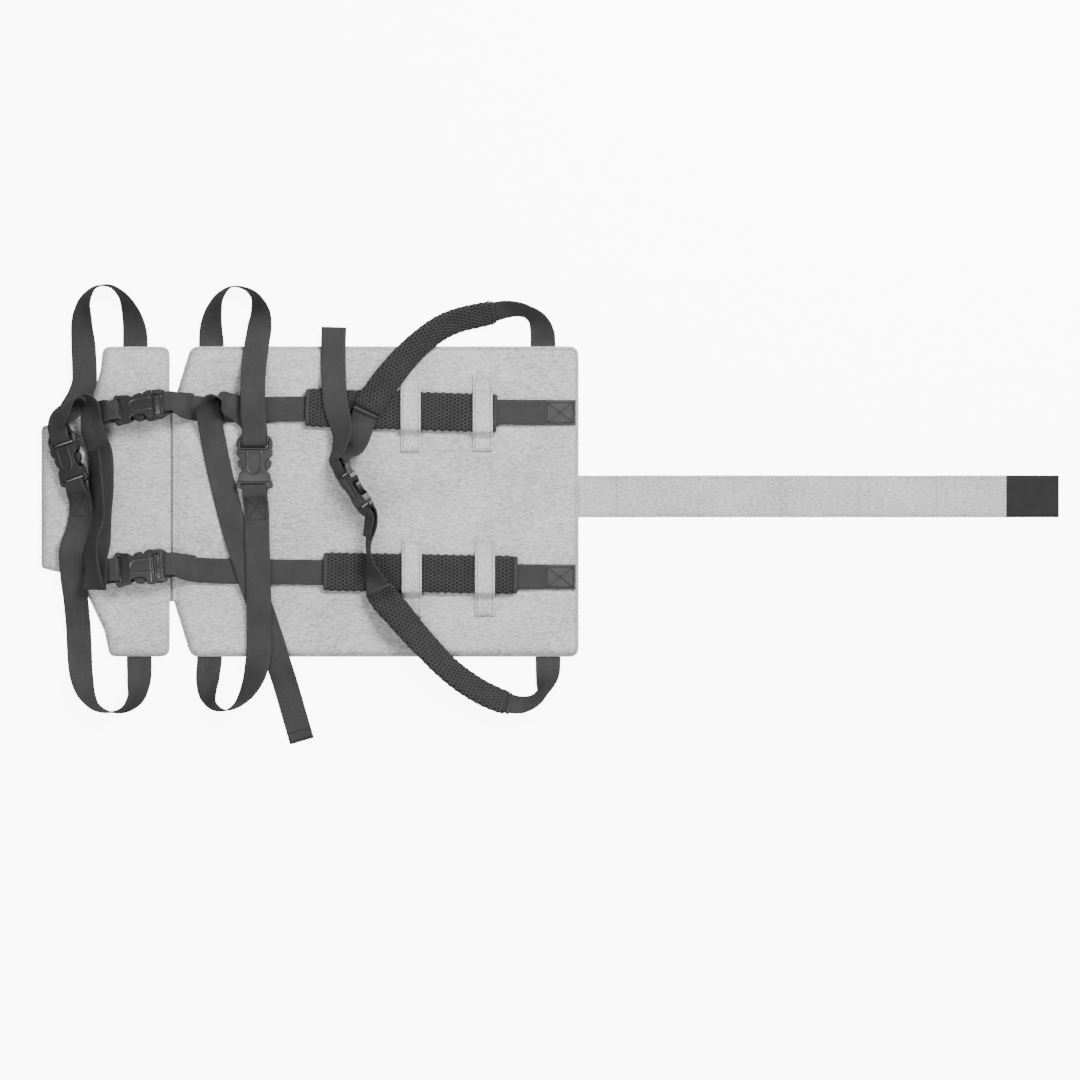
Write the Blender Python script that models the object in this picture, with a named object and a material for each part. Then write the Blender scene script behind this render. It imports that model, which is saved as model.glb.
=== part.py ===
"""Soft baby carrier, laid out flat: padded panel and folding flap, webbing belts with
side-release buckles, mesh pads, keeper loops and a long fastening strip.

X runs along the strip, Y across the panel, Z up. The origin is the centre of the main
panel's underside. Values ending in MM are millimetres; meshes are written in metres.
"""
import math

import bmesh
import bpy
from mathutils import Matrix, Vector

MM = 0.001
GAP = 0.3  # left between pieces that touch

# Main panel and flap: three layers, a back sheet, foam and a front sheet with a rim
PANEL_RIGHT = 203.5
PANEL_LEFT = -202.0
PANEL_HALF_WIDTH = 155.5
NOTCH_HALF_WIDTH = 101.0  # the fold runs between the two notches
NOTCH_RUN = 17.0
CORNER_RADIUS = 9.0
FLAP_GAP = 4.0  # between the panel and the flap, bridged by the fold web
FLAP_LENGTH = 129.0
FLAP_BODY = 65.0  # from the fold to the flap's wide end
TAB_TOP = 75.0
TAB_BOTTOM = -66.8
COVER_THICK = 1.0
FOAM_THICK = 5.0
SEAM_ALLOWANCE = 6.0
RIM_THICK = 1.2

# Webbing
WEB_WIDTH = 25.0
WEB_THICK = 1.5
STEP = 7.0  # spacing of the sections along a belt

# Heights of the layers
SHEET_TOP = COVER_THICK
INNER_WEB = SHEET_TOP + GAP
FOAM_BASE = INNER_WEB + WEB_THICK + GAP
FOAM_TOP = FOAM_BASE + FOAM_THICK
FRONT_BASE = FOAM_TOP + GAP
PANEL_TOP = FRONT_BASE + COVER_THICK
ON_PANEL = PANEL_TOP + GAP
SET_OUT_OVER = 9.4  # height of the front face for which the belts' lifts were set out
TABLE = 0.6

# Pads: sleeves of spacer mesh that the webbing runs through
PAD_WALL_UNDER = 1.6
PAD_WALL_OVER = 3.0
SLEEVE_WIDTH = 38.0
SLEEVE_SLOT = 31.0
STRAP_LIFT = ON_PANEL + PAD_WALL_UNDER + GAP  # straps run level through the pads
OVER_STRAP = STRAP_LIFT + WEB_THICK + GAP
SLEEVE_TOP = OVER_STRAP + PAD_WALL_OVER
OVER_PAD = SLEEVE_TOP + GAP
CURVED_PAD_WIDTH = 29.0
CURVED_PAD_THICK = 6.4
SLEEVE_PLAY = 0.4  # between webbing and a curved pad, on each face

# Keeper loops
KEEPER_WIDTH = 20.0
KEEPER_THICK = 1.2
KEEPER_STAND_OFF = 2.6

# Fastening strip
STRIP_WIDTH = 42.0
STRIP_CENTRE_Y = 5.2
STRIP_THICK = 2.4
STRIP_HINGE_GAP = 0.5
STRIP_FOLDS = (278.0, 367.7, 443.5, 521.0, 602.0)
STRIP_END = 684.0
PATCH_LENGTH = 52.5
PATCH_THICK = 1.5

# Side-release buckle, in its own frame: u along it, v across it, w through it
BUCKLE_HALF_WIDTH = 18.5
BUCKLE_HALF_THICK = 4.75
SOCKET_LENGTH = 39.5
PLUG_REACH = 15.5
SLOT_HALF = WEB_WIDTH / 2 + 1.2
BAR_HALF_THICK = 1.7
BAR_WIDTH = 2.3
SLOT_WIDTH = 3.8
SOCKET_CAVITY_HALF = 14.5
CAVITY_HALF_HEIGHT = 3.0
CAVITY_DEPTH = 25.0
PRONG_HALF_HEIGHT = CAVITY_HALF_HEIGHT - 0.6
FRAME_SHARE = 8.0  # length of the thin frame at the socket's closed end
ROUTE_CLEAR = BAR_HALF_THICK + WEB_THICK / 2 + 0.35

FABRIC = (0.45, 0.45, 0.46, 1)
WEBBING = (0.055, 0.055, 0.058, 1)
MESH = (0.05, 0.05, 0.053, 1)
PLASTIC = (0.065, 0.065, 0.068, 1)
HOOKS = (0.03, 0.03, 0.032, 1)
FOAM = (0.75, 0.75, 0.72, 1)


def clear_scene():
    for thing in list(bpy.data.objects):
        bpy.data.objects.remove(thing, do_unlink=True)


def finish_for(node, colour, roughness):
    material = bpy.data.materials.new(node + "_finish")
    material.use_nodes = True
    shader = material.node_tree.nodes["Principled BSDF"]
    shader.inputs["Base Color"].default_value = colour
    shader.inputs["Roughness"].default_value = roughness
    return material


def place(node, mesh, colour, roughness=0.8, matrix=None, parent=None):
    """Link a mesh as one named node, with its own finish."""
    thing = bpy.data.objects.new(node, mesh)
    bpy.context.collection.objects.link(thing)
    thing.parent = parent
    if matrix is not None:
        thing.matrix_local = matrix
    mesh.materials.clear()
    mesh.materials.append(finish_for(node, colour, roughness))
    return thing


def to_mesh(name, bm):
    bmesh.ops.recalc_face_normals(bm, faces=bm.faces)
    bmesh.ops.scale(bm, vec=(MM, MM, MM), verts=bm.verts)
    mesh = bpy.data.meshes.new(name)
    bm.to_mesh(mesh)
    bm.free()
    return mesh


def rounded(corners):
    """An outline of (x, y, radius) corners, each turned by an arc."""
    outline = []
    count = len(corners)
    for i, (x, y, radius) in enumerate(corners):
        here = Vector((x, y))
        before = Vector(corners[i - 1][:2]) - here
        after = Vector(corners[(i + 1) % count][:2]) - here
        turn = before.angle(after)
        if radius == 0:
            outline.append(here)
            continue
        reach = radius / math.tan(turn / 2)
        start = here + before.normalized() * reach
        end = here + after.normalized() * reach
        steps = max(2, round((math.pi - turn) * 4))
        for k in range(steps + 1):
            t = k / steps
            outline.append(start * (1 - t) ** 2 + here * 2 * t * (1 - t) + end * t * t)
    return outline


def inset(outline, distance):
    """The outline moved inwards by a distance, for one that runs anticlockwise."""
    moved = []
    count = len(outline)
    for i, here in enumerate(outline):
        before = (here - outline[i - 1]).normalized()
        after = (outline[(i + 1) % count] - here).normalized()
        normal = Vector((-before.y - after.y, before.x + after.x)).normalized()
        stretch = max(0.5, normal.dot(Vector((-after.y, after.x))))
        moved.append(here + normal * distance / stretch)
    return moved


def rounded_inside(corners, distance):
    """The outline of corners moved inwards, with each arc's radius made smaller to match."""
    moved = inset([Vector(c[:2]) for c in corners], distance)
    return rounded([(p.x, p.y, max(2.0, c[2] - distance)) for p, c in zip(moved, corners)])


def slab_mesh(name, outline, low, high):
    bm = bmesh.new()
    base = [bm.verts.new((p.x, p.y, low)) for p in outline]
    top = [bm.verts.new((p.x, p.y, high)) for p in outline]
    bm.faces.new(base)
    bm.faces.new(top)
    for i in range(len(outline)):
        j = (i + 1) % len(outline)
        bm.faces.new((base[i], base[j], top[j], top[i]))
    return to_mesh(name, bm)


def tray_mesh(name, outline, rim, low, sheet_low, high):
    """A sheet whose rim turns down all round, open underneath."""
    bm = bmesh.new()
    inner = inset(outline, rim)
    rings = [
        [bm.verts.new((p.x, p.y, z)) for p in ring]
        for ring, z in ((inner, sheet_low), (inner, low), (outline, low), (outline, high))
    ]
    bm.faces.new(rings[0])
    bm.faces.new(rings[-1])
    for a, b in zip(rings, rings[1:]):
        for i in range(len(outline)):
            j = (i + 1) % len(outline)
            bm.faces.new((a[i], a[j], b[j], b[i]))
    return to_mesh(name, bm)


def box_mesh(name, low, high):
    outline = [Vector(p) for p in
               ((low[0], low[1]), (high[0], low[1]), (high[0], high[1]), (low[0], high[1]))]
    return slab_mesh(name, outline, low[2], high[2])


def cut_mesh(mesh, tools):
    """Apply Boolean steps, (operation, mesh), to a mesh and return the result."""
    body = bpy.data.objects.new("workpiece", mesh)
    bpy.context.collection.objects.link(body)
    helpers = []
    for operation, tool_mesh in tools:
        tool = bpy.data.objects.new("cutter", tool_mesh)
        bpy.context.collection.objects.link(tool)
        step = body.modifiers.new("step", "BOOLEAN")
        step.operation = operation
        step.object = tool
        step.solver = "EXACT"
        helpers.append(tool)
    bpy.context.view_layer.update()
    graph = bpy.context.evaluated_depsgraph_get()
    result = bpy.data.meshes.new_from_object(body.evaluated_get(graph))
    for thing in [body] + helpers:
        bpy.data.objects.remove(thing, do_unlink=True)
    return result


# ---------------------------------------------------------------- webbing

def lay(x, y, lift, roll=0.0, half_width=WEB_WIDTH / 2, half_thick=WEB_THICK / 2):
    """A route point whose lowest edge is at height lift. roll turns it about its travel."""
    tilt = math.radians(roll)
    z = lift + half_width * abs(math.sin(tilt)) + half_thick * abs(math.cos(tilt))
    return Vector((x, y, z)), roll, None


def risen(lift):
    """A set-out lift, carried up or down with the front face that it clears."""
    return lift + (PANEL_TOP - SET_OUT_OVER) * min(1.5 * lift / SET_OUT_OVER, 1)


def over(x, y, lift, *rest):
    """lay, for a lift that was set out over the panel's front face."""
    return lay(x, y, risen(lift), *rest)


def through(buckle, u, w):
    """A route point in a buckle's own frame, with the webbing across the buckle."""
    return buckle @ Vector((u, 0, w)), None, buckle.to_3x3() @ Vector((0, 1, 0))


def fold(x, y, z, side):
    return Vector((x, y, risen(z))), None, Vector(side)


def side_vectors(route):
    sides = []
    for i, (here, roll, side) in enumerate(route):
        if side is None:
            ahead = route[min(i + 1, len(route) - 1)][0]
            behind = route[max(i - 1, 0)][0]
            travel = Vector((ahead.x - behind.x, ahead.y - behind.y, 0)).normalized()
            left = Vector((-travel.y, travel.x, 0))
            tilt = math.radians(roll)
            side = left * math.cos(tilt) + Vector((0, 0, math.sin(tilt)))
        if sides and side.dot(sides[-1]) < 0:
            side = -side
        sides.append(side.normalized())
    return sides


def sections(route, step=STEP):
    """Centre, width direction and face direction along the smooth curve of a route.

    Also returns the index of the section that stands at each route point.
    """
    points = [here for here, roll, side in route]
    sides = side_vectors(route)
    spans = [(b - a).length for a, b in zip(points, points[1:])]
    tangents = []
    for i in range(len(points)):
        if i == 0:
            tangents.append((points[1] - points[0]) / spans[0])
        elif i == len(points) - 1:
            tangents.append((points[i] - points[i - 1]) / spans[-1])
        else:
            before, after = spans[i - 1], spans[i]
            tangents.append(((points[i] - points[i - 1]) / before * after
                             + (points[i + 1] - points[i]) / after * before) / (before + after))
    centres, widths, marks = [], [], []
    for i, span in enumerate(spans):
        marks.append(len(centres))
        count = max(2, math.ceil(span / step))
        for k in range(count):
            t = k / count
            a, b = 2 * t ** 3 - 3 * t ** 2 + 1, -2 * t ** 3 + 3 * t ** 2
            c, d = t ** 3 - 2 * t ** 2 + t, t ** 3 - t ** 2
            centre = points[i] * a + points[i + 1] * b
            centre += (tangents[i] * c + tangents[i + 1] * d) * span
            if route[i][2] is None or route[i + 1][2] is None:
                heights = sorted((points[i].z, points[i + 1].z))
                centre.z = min(max(centre.z, heights[0]), heights[1])
            centres.append(centre)
            widths.append(sides[i].lerp(sides[i + 1], t))
    marks.append(len(centres))
    centres.append(points[-1])
    widths.append(sides[-1])
    frames = []
    for i, (centre, width) in enumerate(zip(centres, widths)):
        travel = (centres[min(i + 1, len(centres) - 1)] - centres[max(i - 1, 0)]).normalized()
        width = (width - travel * width.dot(travel)).normalized()
        frames.append((centre, width, travel.cross(width)))
    return frames, marks


def ring(bm, frame, width, thick):
    centre, across, face = frame
    return [bm.verts.new(centre + across * (a * width / 2) + face * (b * thick / 2))
            for a, b in ((-1, -1), (1, -1), (1, 1), (-1, 1))]


def bridge(bm, rings):
    for a, b in zip(rings, rings[1:]):
        for i in range(4):
            j = (i + 1) % 4
            bm.faces.new((a[i], a[j], b[j], b[i]))


def ribbon_mesh(name, frames, width=WEB_WIDTH, thick=WEB_THICK):
    bm = bmesh.new()
    rings = [ring(bm, frame, width, thick) for frame in frames]
    bridge(bm, rings)
    bm.faces.new(rings[0])
    bm.faces.new(rings[-1])
    return to_mesh(name, bm)


def sleeve_mesh(name, frames, width, thick, slot_width, slot_thick):
    """A flat tube round the webbing, open at both ends."""
    bm = bmesh.new()
    outer = [ring(bm, frame, width, thick) for frame in frames]
    inner = [ring(bm, frame, slot_width, slot_thick) for frame in frames]
    bridge(bm, outer)
    bridge(bm, inner)
    for a, b in ((outer[0], inner[0]), (outer[-1], inner[-1])):
        bridge(bm, [a, b])
    return to_mesh(name, bm)


def belt(node, route, parent=None):
    frames, marks = sections(route)
    place(node, ribbon_mesh(node, frames), WEBBING, parent=parent)
    return frames, marks


# ---------------------------------------------------------------- buckles

def buckle_frame(x, y, heading, roll, on=ON_PANEL):
    """Frame of a buckle whose mouth is at (x, y), resting on one edge when it is rolled."""
    tilt = math.radians(roll)
    z = on + BUCKLE_HALF_WIDTH * abs(math.sin(tilt)) + BUCKLE_HALF_THICK * math.cos(tilt)
    turn = Matrix.Rotation(math.radians(heading), 4, "Z") @ Matrix.Rotation(tilt, 4, "X")
    return Matrix.Translation((x, y, z)) @ turn


def in_metres(frame):
    moved = frame.copy()
    moved.translation = frame.translation * MM
    return moved


def mirrored(half):
    """A closed outline from its upper half, mirrored across the u axis."""
    upper = [Vector(p) for p in half]
    return upper + [Vector((p.x, -p.y)) for p in reversed(upper)]


def socket_mesh():
    half, length = BUCKLE_HALF_WIDTH, SOCKET_LENGTH
    body_end = FRAME_SHARE - length
    waist = SOCKET_CAVITY_HALF - 3.2
    body = mirrored(((0, half - 1), (-4, half - 0.4), (-7.5, half - 2.2), (-10.5, waist + 1),
                     (-14, waist), (-18, waist), (-21.5, waist + 1.5), (-24.5, half - 3),
                     (body_end, half - 1.5)))
    frame = mirrored(((body_end + 2, half - 2), (body_end - 2.5, half), (3 - length, half),
                      (1 - length, half - 2), (-length, half - 5)))
    inner = length - BAR_WIDTH - SLOT_WIDTH
    height = BUCKLE_HALF_THICK
    return cut_mesh(slab_mesh("socket", body, -height, height), (
        ("UNION", slab_mesh("frame", frame, -BAR_HALF_THICK, BAR_HALF_THICK)),
        ("DIFFERENCE", box_mesh(
            "cavity", (-CAVITY_DEPTH, -SOCKET_CAVITY_HALF, -CAVITY_HALF_HEIGHT),
            (1, SOCKET_CAVITY_HALF, CAVITY_HALF_HEIGHT))),
        ("DIFFERENCE", box_mesh("slot", (-inner - SLOT_WIDTH, -SLOT_HALF, -height),
                                (-inner, SLOT_HALF, height)))))


def plug_mesh():
    half, reach = BUCKLE_HALF_WIDTH, PLUG_REACH
    near, far = 2.2, 2.2 + SLOT_WIDTH + BAR_WIDTH
    frame = mirrored(((GAP, half - 1), (6, half), (reach - 4, half - 1.5),
                      (reach - 1.2, half - 4.5), (reach, half - 9)))
    height = BAR_HALF_THICK
    cheek = height + 1.6
    tools = [
        ("UNION", box_mesh("cheek", (GAP, 1.5 - half, -cheek), (near - GAP, half - 1.5, cheek))),
        ("UNION", box_mesh("tongue", (3 - CAVITY_DEPTH, -3.2, -1.4), (near - 0.6, 3.2, 1.4))),
    ]
    for start in (near, far):
        tools.append(("DIFFERENCE", box_mesh("slot", (start, -SLOT_HALF, -4 * height),
                                             (start + SLOT_WIDTH, SLOT_HALF, 4 * height))))
    return cut_mesh(slab_mesh("plug", frame, -height, height), tools)


PRONG_ROOT = (-0.5, 11.0)
CATCH_AT = -9.9


def prong_mesh(side):
    """A springing arm with its catch, drawn from its root. side is 1 or -1."""
    outline = [(-0.2, 11.0), (-1.2, 12.8), (CATCH_AT + 1, 12.9), (CATCH_AT - 0.6, 16.6),
               (-13, 17.2), (-17, 16.2), (-22.5, 11), (-23, 9), (-16, 8.6), (-1.2, 9.2)]
    points = [Vector((u - PRONG_ROOT[0], side * (v - PRONG_ROOT[1]))) for u, v in outline]
    return slab_mesh("prong", points, -PRONG_HALF_HEIGHT, PRONG_HALF_HEIGHT)


def build_buckle(tag, frame, meshes, flap=None):
    socket, plug, prongs = meshes
    turn = in_metres(frame)
    place("socket_" + tag, socket.copy(), PLASTIC, 0.45, turn, flap)
    male = place("plug_" + tag, plug.copy(), PLASTIC, 0.45, turn, flap)
    for side, name in ((1, "prong_left_"), (-1, "prong_right_")):
        root = Matrix.Translation(Vector((PRONG_ROOT[0], side * PRONG_ROOT[1], 0)) * MM)
        place(name + tag, prongs[side].copy(), PLASTIC, 0.45, root, male)


def ladder_turn(frame, over_first, bar_start, bar_end):
    """Webbing over one or both ladder bars and back: over_first is 1 for over, -1 for under."""
    slot = bar_start - SLOT_WIDTH / 2
    steps = ((bar_end + 4.5, ROUTE_CLEAR - 0.5), (bar_end, ROUTE_CLEAR),
             (bar_start, ROUTE_CLEAR + 0.1), (slot, BAR_HALF_THICK - 0.1))
    there = [through(frame, u, over_first * w) for u, w in steps]
    back = [through(frame, u, -over_first * w) for u, w in reversed(steps)]
    return there + back


def socket_turn(frame, over_first, reach=4.5):
    """Webbing round the socket's fixed bar and back."""
    bar_end = -SOCKET_LENGTH
    bar_start = bar_end + BAR_WIDTH
    slot = bar_start + SLOT_WIDTH / 2
    steps = ((bar_end - reach, ROUTE_CLEAR - 0.3), (bar_end, ROUTE_CLEAR),
             (bar_start, ROUTE_CLEAR + 0.1), (slot, BAR_HALF_THICK - 0.1))
    there = [through(frame, u, over_first * w) for u, w in steps]
    back = [through(frame, u, -over_first * w) for u, w in reversed(steps)]
    return there + back


FIRST_BAR = 2.2 + SLOT_WIDTH
SECOND_BAR = FIRST_BAR + BAR_WIDTH + SLOT_WIDTH

FOLD_X = (PANEL_LEFT * 2 - FLAP_GAP) / 2
FRAMES = {
    "top": buckle_frame(-221.5, 96.0, 9.0, -39.0),
    "bottom": buckle_frame(-221.0, -65.0, 5.7, -25.0),
    "flap_belt": buckle_frame(-310.0, 55.0, 106.9, -38.0),
    "middle_belt": buckle_frame(-120.5, 51.5, 90.0, -8.0),
    "end_belt": buckle_frame(-28.5, 24.6, 122.7, -66.0),
}


# ---------------------------------------------------------------- panel and flap

def panel_corners():
    right, left, half = PANEL_RIGHT, PANEL_LEFT, PANEL_HALF_WIDTH
    return ((right, -half, CORNER_RADIUS), (right, half, CORNER_RADIUS),
            (left + NOTCH_RUN, half, CORNER_RADIUS), (left, NOTCH_HALF_WIDTH, 6),
            (left, -NOTCH_HALF_WIDTH, 6), (left + NOTCH_RUN, -half, CORNER_RADIUS))


def flap_corners():
    right = PANEL_LEFT - FLAP_GAP
    wide, tip, half = right - FLAP_BODY, right - FLAP_LENGTH, PANEL_HALF_WIDTH
    return ((right, -half, CORNER_RADIUS), (right, half, CORNER_RADIUS),
            (wide - 2, half, 8), (wide - 5, half - 26, 14), (wide - 16, 97, 12),
            (tip + 25, TAB_TOP + 6.5, 8), (tip, TAB_TOP, 3), (tip, TAB_BOTTOM, 3),
            (tip + 25, TAB_BOTTOM - 5.8, 8), (wide - 16.8, TAB_BOTTOM - 28.6, 12),
            (wide - 0.5, -130, 18), (wide + 4.5, -half, 7))


def padded_panel(prefix, corners, exits, parent=None):
    """Back sheet, foam and front sheet; exits are (x, y) where webbing leaves the edge."""
    outline = rounded(corners)
    place(prefix + "_back_cover", slab_mesh(prefix, outline, 0, SHEET_TOP), FABRIC,
          parent=parent)
    foam = rounded_inside(corners, SEAM_ALLOWANCE)
    place(prefix + "_foam", slab_mesh(prefix, foam, FOAM_BASE, FOAM_TOP), FOAM, parent=parent)
    half = WEB_WIDTH / 2 + GAP + 0.6
    mouths = [("DIFFERENCE", box_mesh("mouth", (x - half, y - 6, 0), (x + half, y + 6, FOAM_BASE)))
              for x, y in exits]
    tray = tray_mesh(prefix, outline, RIM_THICK, SHEET_TOP + GAP, FRONT_BASE, PANEL_TOP)
    place(prefix + "_front_cover", cut_mesh(tray, mouths), FABRIC, parent=parent)


def inner_belt(node, x_top, x_bottom, parent=None):
    """The stretch of a belt that crosses between the layers, inside the panel."""
    reach = PANEL_HALF_WIDTH - 4
    belt(node, [lay(x_top, reach, INNER_WEB), lay((x_top + x_bottom) / 2, 0, INNER_WEB),
                lay(x_bottom, -reach, INNER_WEB)], parent)


EXITS = {"flap": (-240.6, -236.8), "middle": (-164.5, -166.5), "end": (167.5, 172.5)}
EXIT_START = PANEL_HALF_WIDTH - 4 + GAP


def leave(x, side):
    """First two route points of a belt that leaves the panel edge; side is 1 or -1."""
    return [lay(x, side * EXIT_START, INNER_WEB),
            lay(x, side * (PANEL_HALF_WIDTH + 3), INNER_WEB - 0.2)]


def flap_belt(flap):
    frame = FRAMES["flap_belt"]
    top, bottom = EXITS["flap"]
    inner_belt("flap_belt_inner", top, bottom, flap)
    route = leave(top, 1) + [
        lay(-241, 172, TABLE, -18), lay(-245, 190, TABLE, -45), lay(-254, 207, TABLE, -72),
        lay(-266, 215.5, TABLE, -87), lay(-279, 214.5, TABLE, -97),
        lay(-289, 203, TABLE, -118), lay(-293.5, 184, TABLE, -146),
        over(-292.3, 155, 3, -172), over(-291, 134, 9.4, -180), over(-291, 120, 9.9, -180),
        over(-295, 107, 10, -174), over(-304, 92, 13, -158)]
    route += ladder_turn(frame, -1, FIRST_BAR, SECOND_BAR + BAR_WIDTH + 1)
    route += [over(-309, 91, 23.5, -58), over(-300, 103, 20, -80), over(-289, 106, 18, -95),
              over(-283, 98, 19.8, -126), over(-283, 84, 20.4, -152),
              over(-281.5, 70, 18, -160), over(-275.5, 50, 10.6, -176),
              over(-274, 20, 10, -180), over(-276.5, -18.5, 10, -180),
              over(-277, -40, 10.2, -176), over(-278, -56, 16.2, -155),
              over(-278.8, -76, 18, -155), fold(-279.4, -87.5, 27.4, (-0.9, 0, -0.42)),
              fold(-280.4, -82, 31, (-0.8, 0, -0.6)), over(-281.5, -68, 23, -52),
              over(-283.5, -52, 18.5, -58), over(-280.5, -34.5, 17.4, -64),
              over(-275, -16.5, 15.8, -64),
              over(-276.5, 6.5, 12.8, -62), over(-279, 31.5, 11.9, -60), over(-281, 50, 12.2, -60)]
    belt("flap_belt_upper", route, flap)
    route = [lay(-293.5, -14, ON_PANEL + 0.1, -12), lay(-294.5, -2, ON_PANEL + 0.8, -22)]
    route += socket_turn(frame, -1)
    route += [over(-294.3, -2, 12.7, 24), over(-294.3, -14, 12.2, 9), over(-297.5, -31, 12.2, 0),
              over(-303, -47, 15.6, 0), over(-303, -72, 10.4, 0), over(-299.5, -99, 9.9, 0),
              over(-298.5, -112, 6.5, 0), over(-297.5, -128, 1.4, -2),
              lay(-296.5, -150, TABLE, -8), lay(-294, -176, TABLE, -26),
              lay(-289, -193, TABLE, -52), lay(-279.5, -205.5, TABLE, -75),
              lay(-266, -210.5, TABLE, -90), lay(-252, -208.5, TABLE, -103),
              lay(-242, -199, TABLE, -124), lay(-237, -180, TABLE, -158)]
    route += [(here, -180.0, side) for here, roll, side in reversed(leave(bottom, -1))]
    belt("flap_belt_lower", route, flap)


def middle_belt():
    frame = FRAMES["middle_belt"]
    top, bottom = EXITS["middle"]
    inner_belt("middle_belt_inner", top, bottom)
    route = leave(top, 1) + [
        lay(-164.5, 172, TABLE, 20), lay(-161.5, 190, TABLE, 46), lay(-154.5, 206, TABLE, 70),
        lay(-144, 214.5, TABLE, 86), lay(-131, 213, TABLE, 93), lay(-119.5, 204, TABLE, 112),
        over(-115, 190, 1.5, 142), over(-116, 174, 6.5, 170), over(-118.5, 158, 10.2, 180),
        over(-121, 140, 10.9, 180), over(-122, 118, 21, 180), over(-122, 100, 22.6, 180),
        over(-121.8, 84, 20, 180)]
    route += ladder_turn(frame, 1, FIRST_BAR, SECOND_BAR + BAR_WIDTH + 1)
    route += [over(-123.5, 80, 13.8, 0), over(-134.5, 90.5, 13.5, -2), over(-147.3, 98, 14.1, -34),
              over(-154, 104.5, 13.6, -76), over(-163, 103, 14.4, -112),
              over(-166.5, 92, 14.8, -156), over(-164.5, 76, 14.4, -180),
              over(-161.5, 58, 10.2, -180),
              over(-157.5, 38, 9.8, -180), over(-149, 1.5, 9.8, -180),
              over(-142.5, -23.5, 9.9, -180), over(-137, -42, 11.8, -180),
              over(-132, -56, 13.7, -180), over(-124.5, -80, 13.7, -180),
              over(-118.5, -96, 12.4, -180), over(-110, -121, 9.9, -180),
              over(-100, -151.5, 9.9, -180), over(-95.5, -166, 8.5, -180),
              over(-90, -184, 2.5, -180), lay(-84, -205, TABLE, -180),
              lay(-73.8, -240, TABLE, -180)]
    belt("middle_belt_upper", list(reversed(route)))
    route = [lay(-118.6, -16, ON_PANEL, 0), lay(-119.2, -4, ON_PANEL + 0.5, -4)]
    route += socket_turn(frame, -1)
    route += [over(-119.2, -4, 12.6, 4), over(-118.6, -18, 11.7, 0), over(-118.2, -38, 14.3, 0),
              over(-117.5, -56, 15.8, 0), over(-116.7, -84, 15.8, 0), over(-116.4, -104, 15.2, 0),
              over(-116.2, -128, 12, 0), over(-117, -154, 11.9, 4), over(-119, -166, 9, 14),
              over(-123, -179.5, 3, 34), lay(-130, -193.5, TABLE, 56),
              lay(-139.5, -204, TABLE, 78), lay(-150.5, -208.5, TABLE, 93),
              lay(-161, -204.5, TABLE, 112), lay(-167, -193, TABLE, 138),
              lay(-168, -177, TABLE, 164)]
    route += [(here, 180.0, side) for here, roll, side in reversed(leave(bottom, -1))]
    belt("middle_belt_lower", route)


def lay_pad(x, y, lift, roll):
    return over(x, y, lift, roll, CURVED_PAD_WIDTH / 2, CURVED_PAD_THICK / 2)


def end_belt():
    """The belt at the right, with a curved pad on each run."""
    frame = FRAMES["end_belt"]
    top, bottom = EXITS["end"]
    inner_belt("end_belt_inner", top, bottom)
    start = leave(top, 1) + [
        over(166.8, 170, 1.2, -20), over(162, 182, 1.2, -48), over(152, 189.5, 1.2, -62),
        over(140, 192.5, 1.2, -56), over(130, 192, 1.5, -48)]
    pad = [lay_pad(119, 189.5, TABLE, -42), lay_pad(104, 186, 1.0, -40),
           lay_pad(88, 182.5, 3.5, -40), lay_pad(67.5, 174.5, 8, -38),
           lay_pad(46.5, 159.5, 10.2, -36), lay_pad(31, 144.5, 12.7, -30),
           lay_pad(17.5, 128.5, 16.4, -22), lay_pad(3.5, 110, 17.0, -12),
           lay_pad(-10, 88, 17.0, -6)]
    route = start + pad + [over(-13.6, 78, 18.3, 2), over(-15.8, 66, 18.3, 20),
                           over(-20, 54, 18.3, 42)]
    route += ladder_turn(frame, -1, FIRST_BAR, SECOND_BAR + BAR_WIDTH + 1)
    route += [over(-36, 53, 18.6, -56), over(-33, 66, 18.2, -44), over(-35, 80, 17.4, -24),
              over(-39.5, 97, 17.1, -6), over(-41.2, 114, 16.9, 0), over(-42, 130, 12, 0),
              over(-42.3, 146, 9.9, 0), over(-42, 159, 9.9, 0), over(-41.5, 174.5, 8.4, 0)]
    frames, marks = belt("end_belt_upper", route)
    curved_pad("end_pad_upper", frames[marks[len(start)]:marks[len(start) + len(pad) - 1] + 1])

    head = [over(-8.6, -36, 12.2, -72), over(-6.6, -24, 14.0, -70)]
    head += socket_turn(frame, 1)
    head += [over(-2.4, -23, 14.4, 68), over(-4.8, -34, 13.6, 72), over(-6.4, -44, 15.8, 78),
             over(-6.2, -52, 17.3, 80), over(-4.5, -62, 17.2, 72), over(-1.5, -73, 17, 50)]
    pad = [lay_pad(2.5, -86, 17, 22), lay_pad(10, -98, 18.4, 0), lay_pad(20, -109, 18, -14),
           lay_pad(35, -127, 12.4, -26), lay_pad(51.8, -145.7, 10, -34),
           lay_pad(70.2, -164.8, 9.6, -38), lay_pad(91.5, -181.6, 5, -38),
           lay_pad(113, -194.2, 1.2, -38), lay_pad(135, -202, TABLE, -42)]
    tail = [over(147, -203.2, 1.2, -50), over(158.5, -199.5, 1.2, -62),
            over(167, -190.5, 1.2, -66), over(171.5, -178, 1.2, -34), over(172.5, -167, 0.8, -10)]
    route = head + pad + tail
    route += [(here, 0.0, side) for here, roll, side in reversed(leave(bottom, -1))]
    frames, marks = belt("end_belt_lower", route)
    curved_pad("end_pad_lower", frames[marks[len(head)]:marks[len(head) + len(pad) - 1] + 1])


def curved_pad(node, frames):
    place(node, sleeve_mesh(node, frames, CURVED_PAD_WIDTH, CURVED_PAD_THICK,
                            WEB_WIDTH + 2 * SLEEVE_PLAY, WEB_THICK + 2 * SLEEVE_PLAY), MESH)


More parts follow.
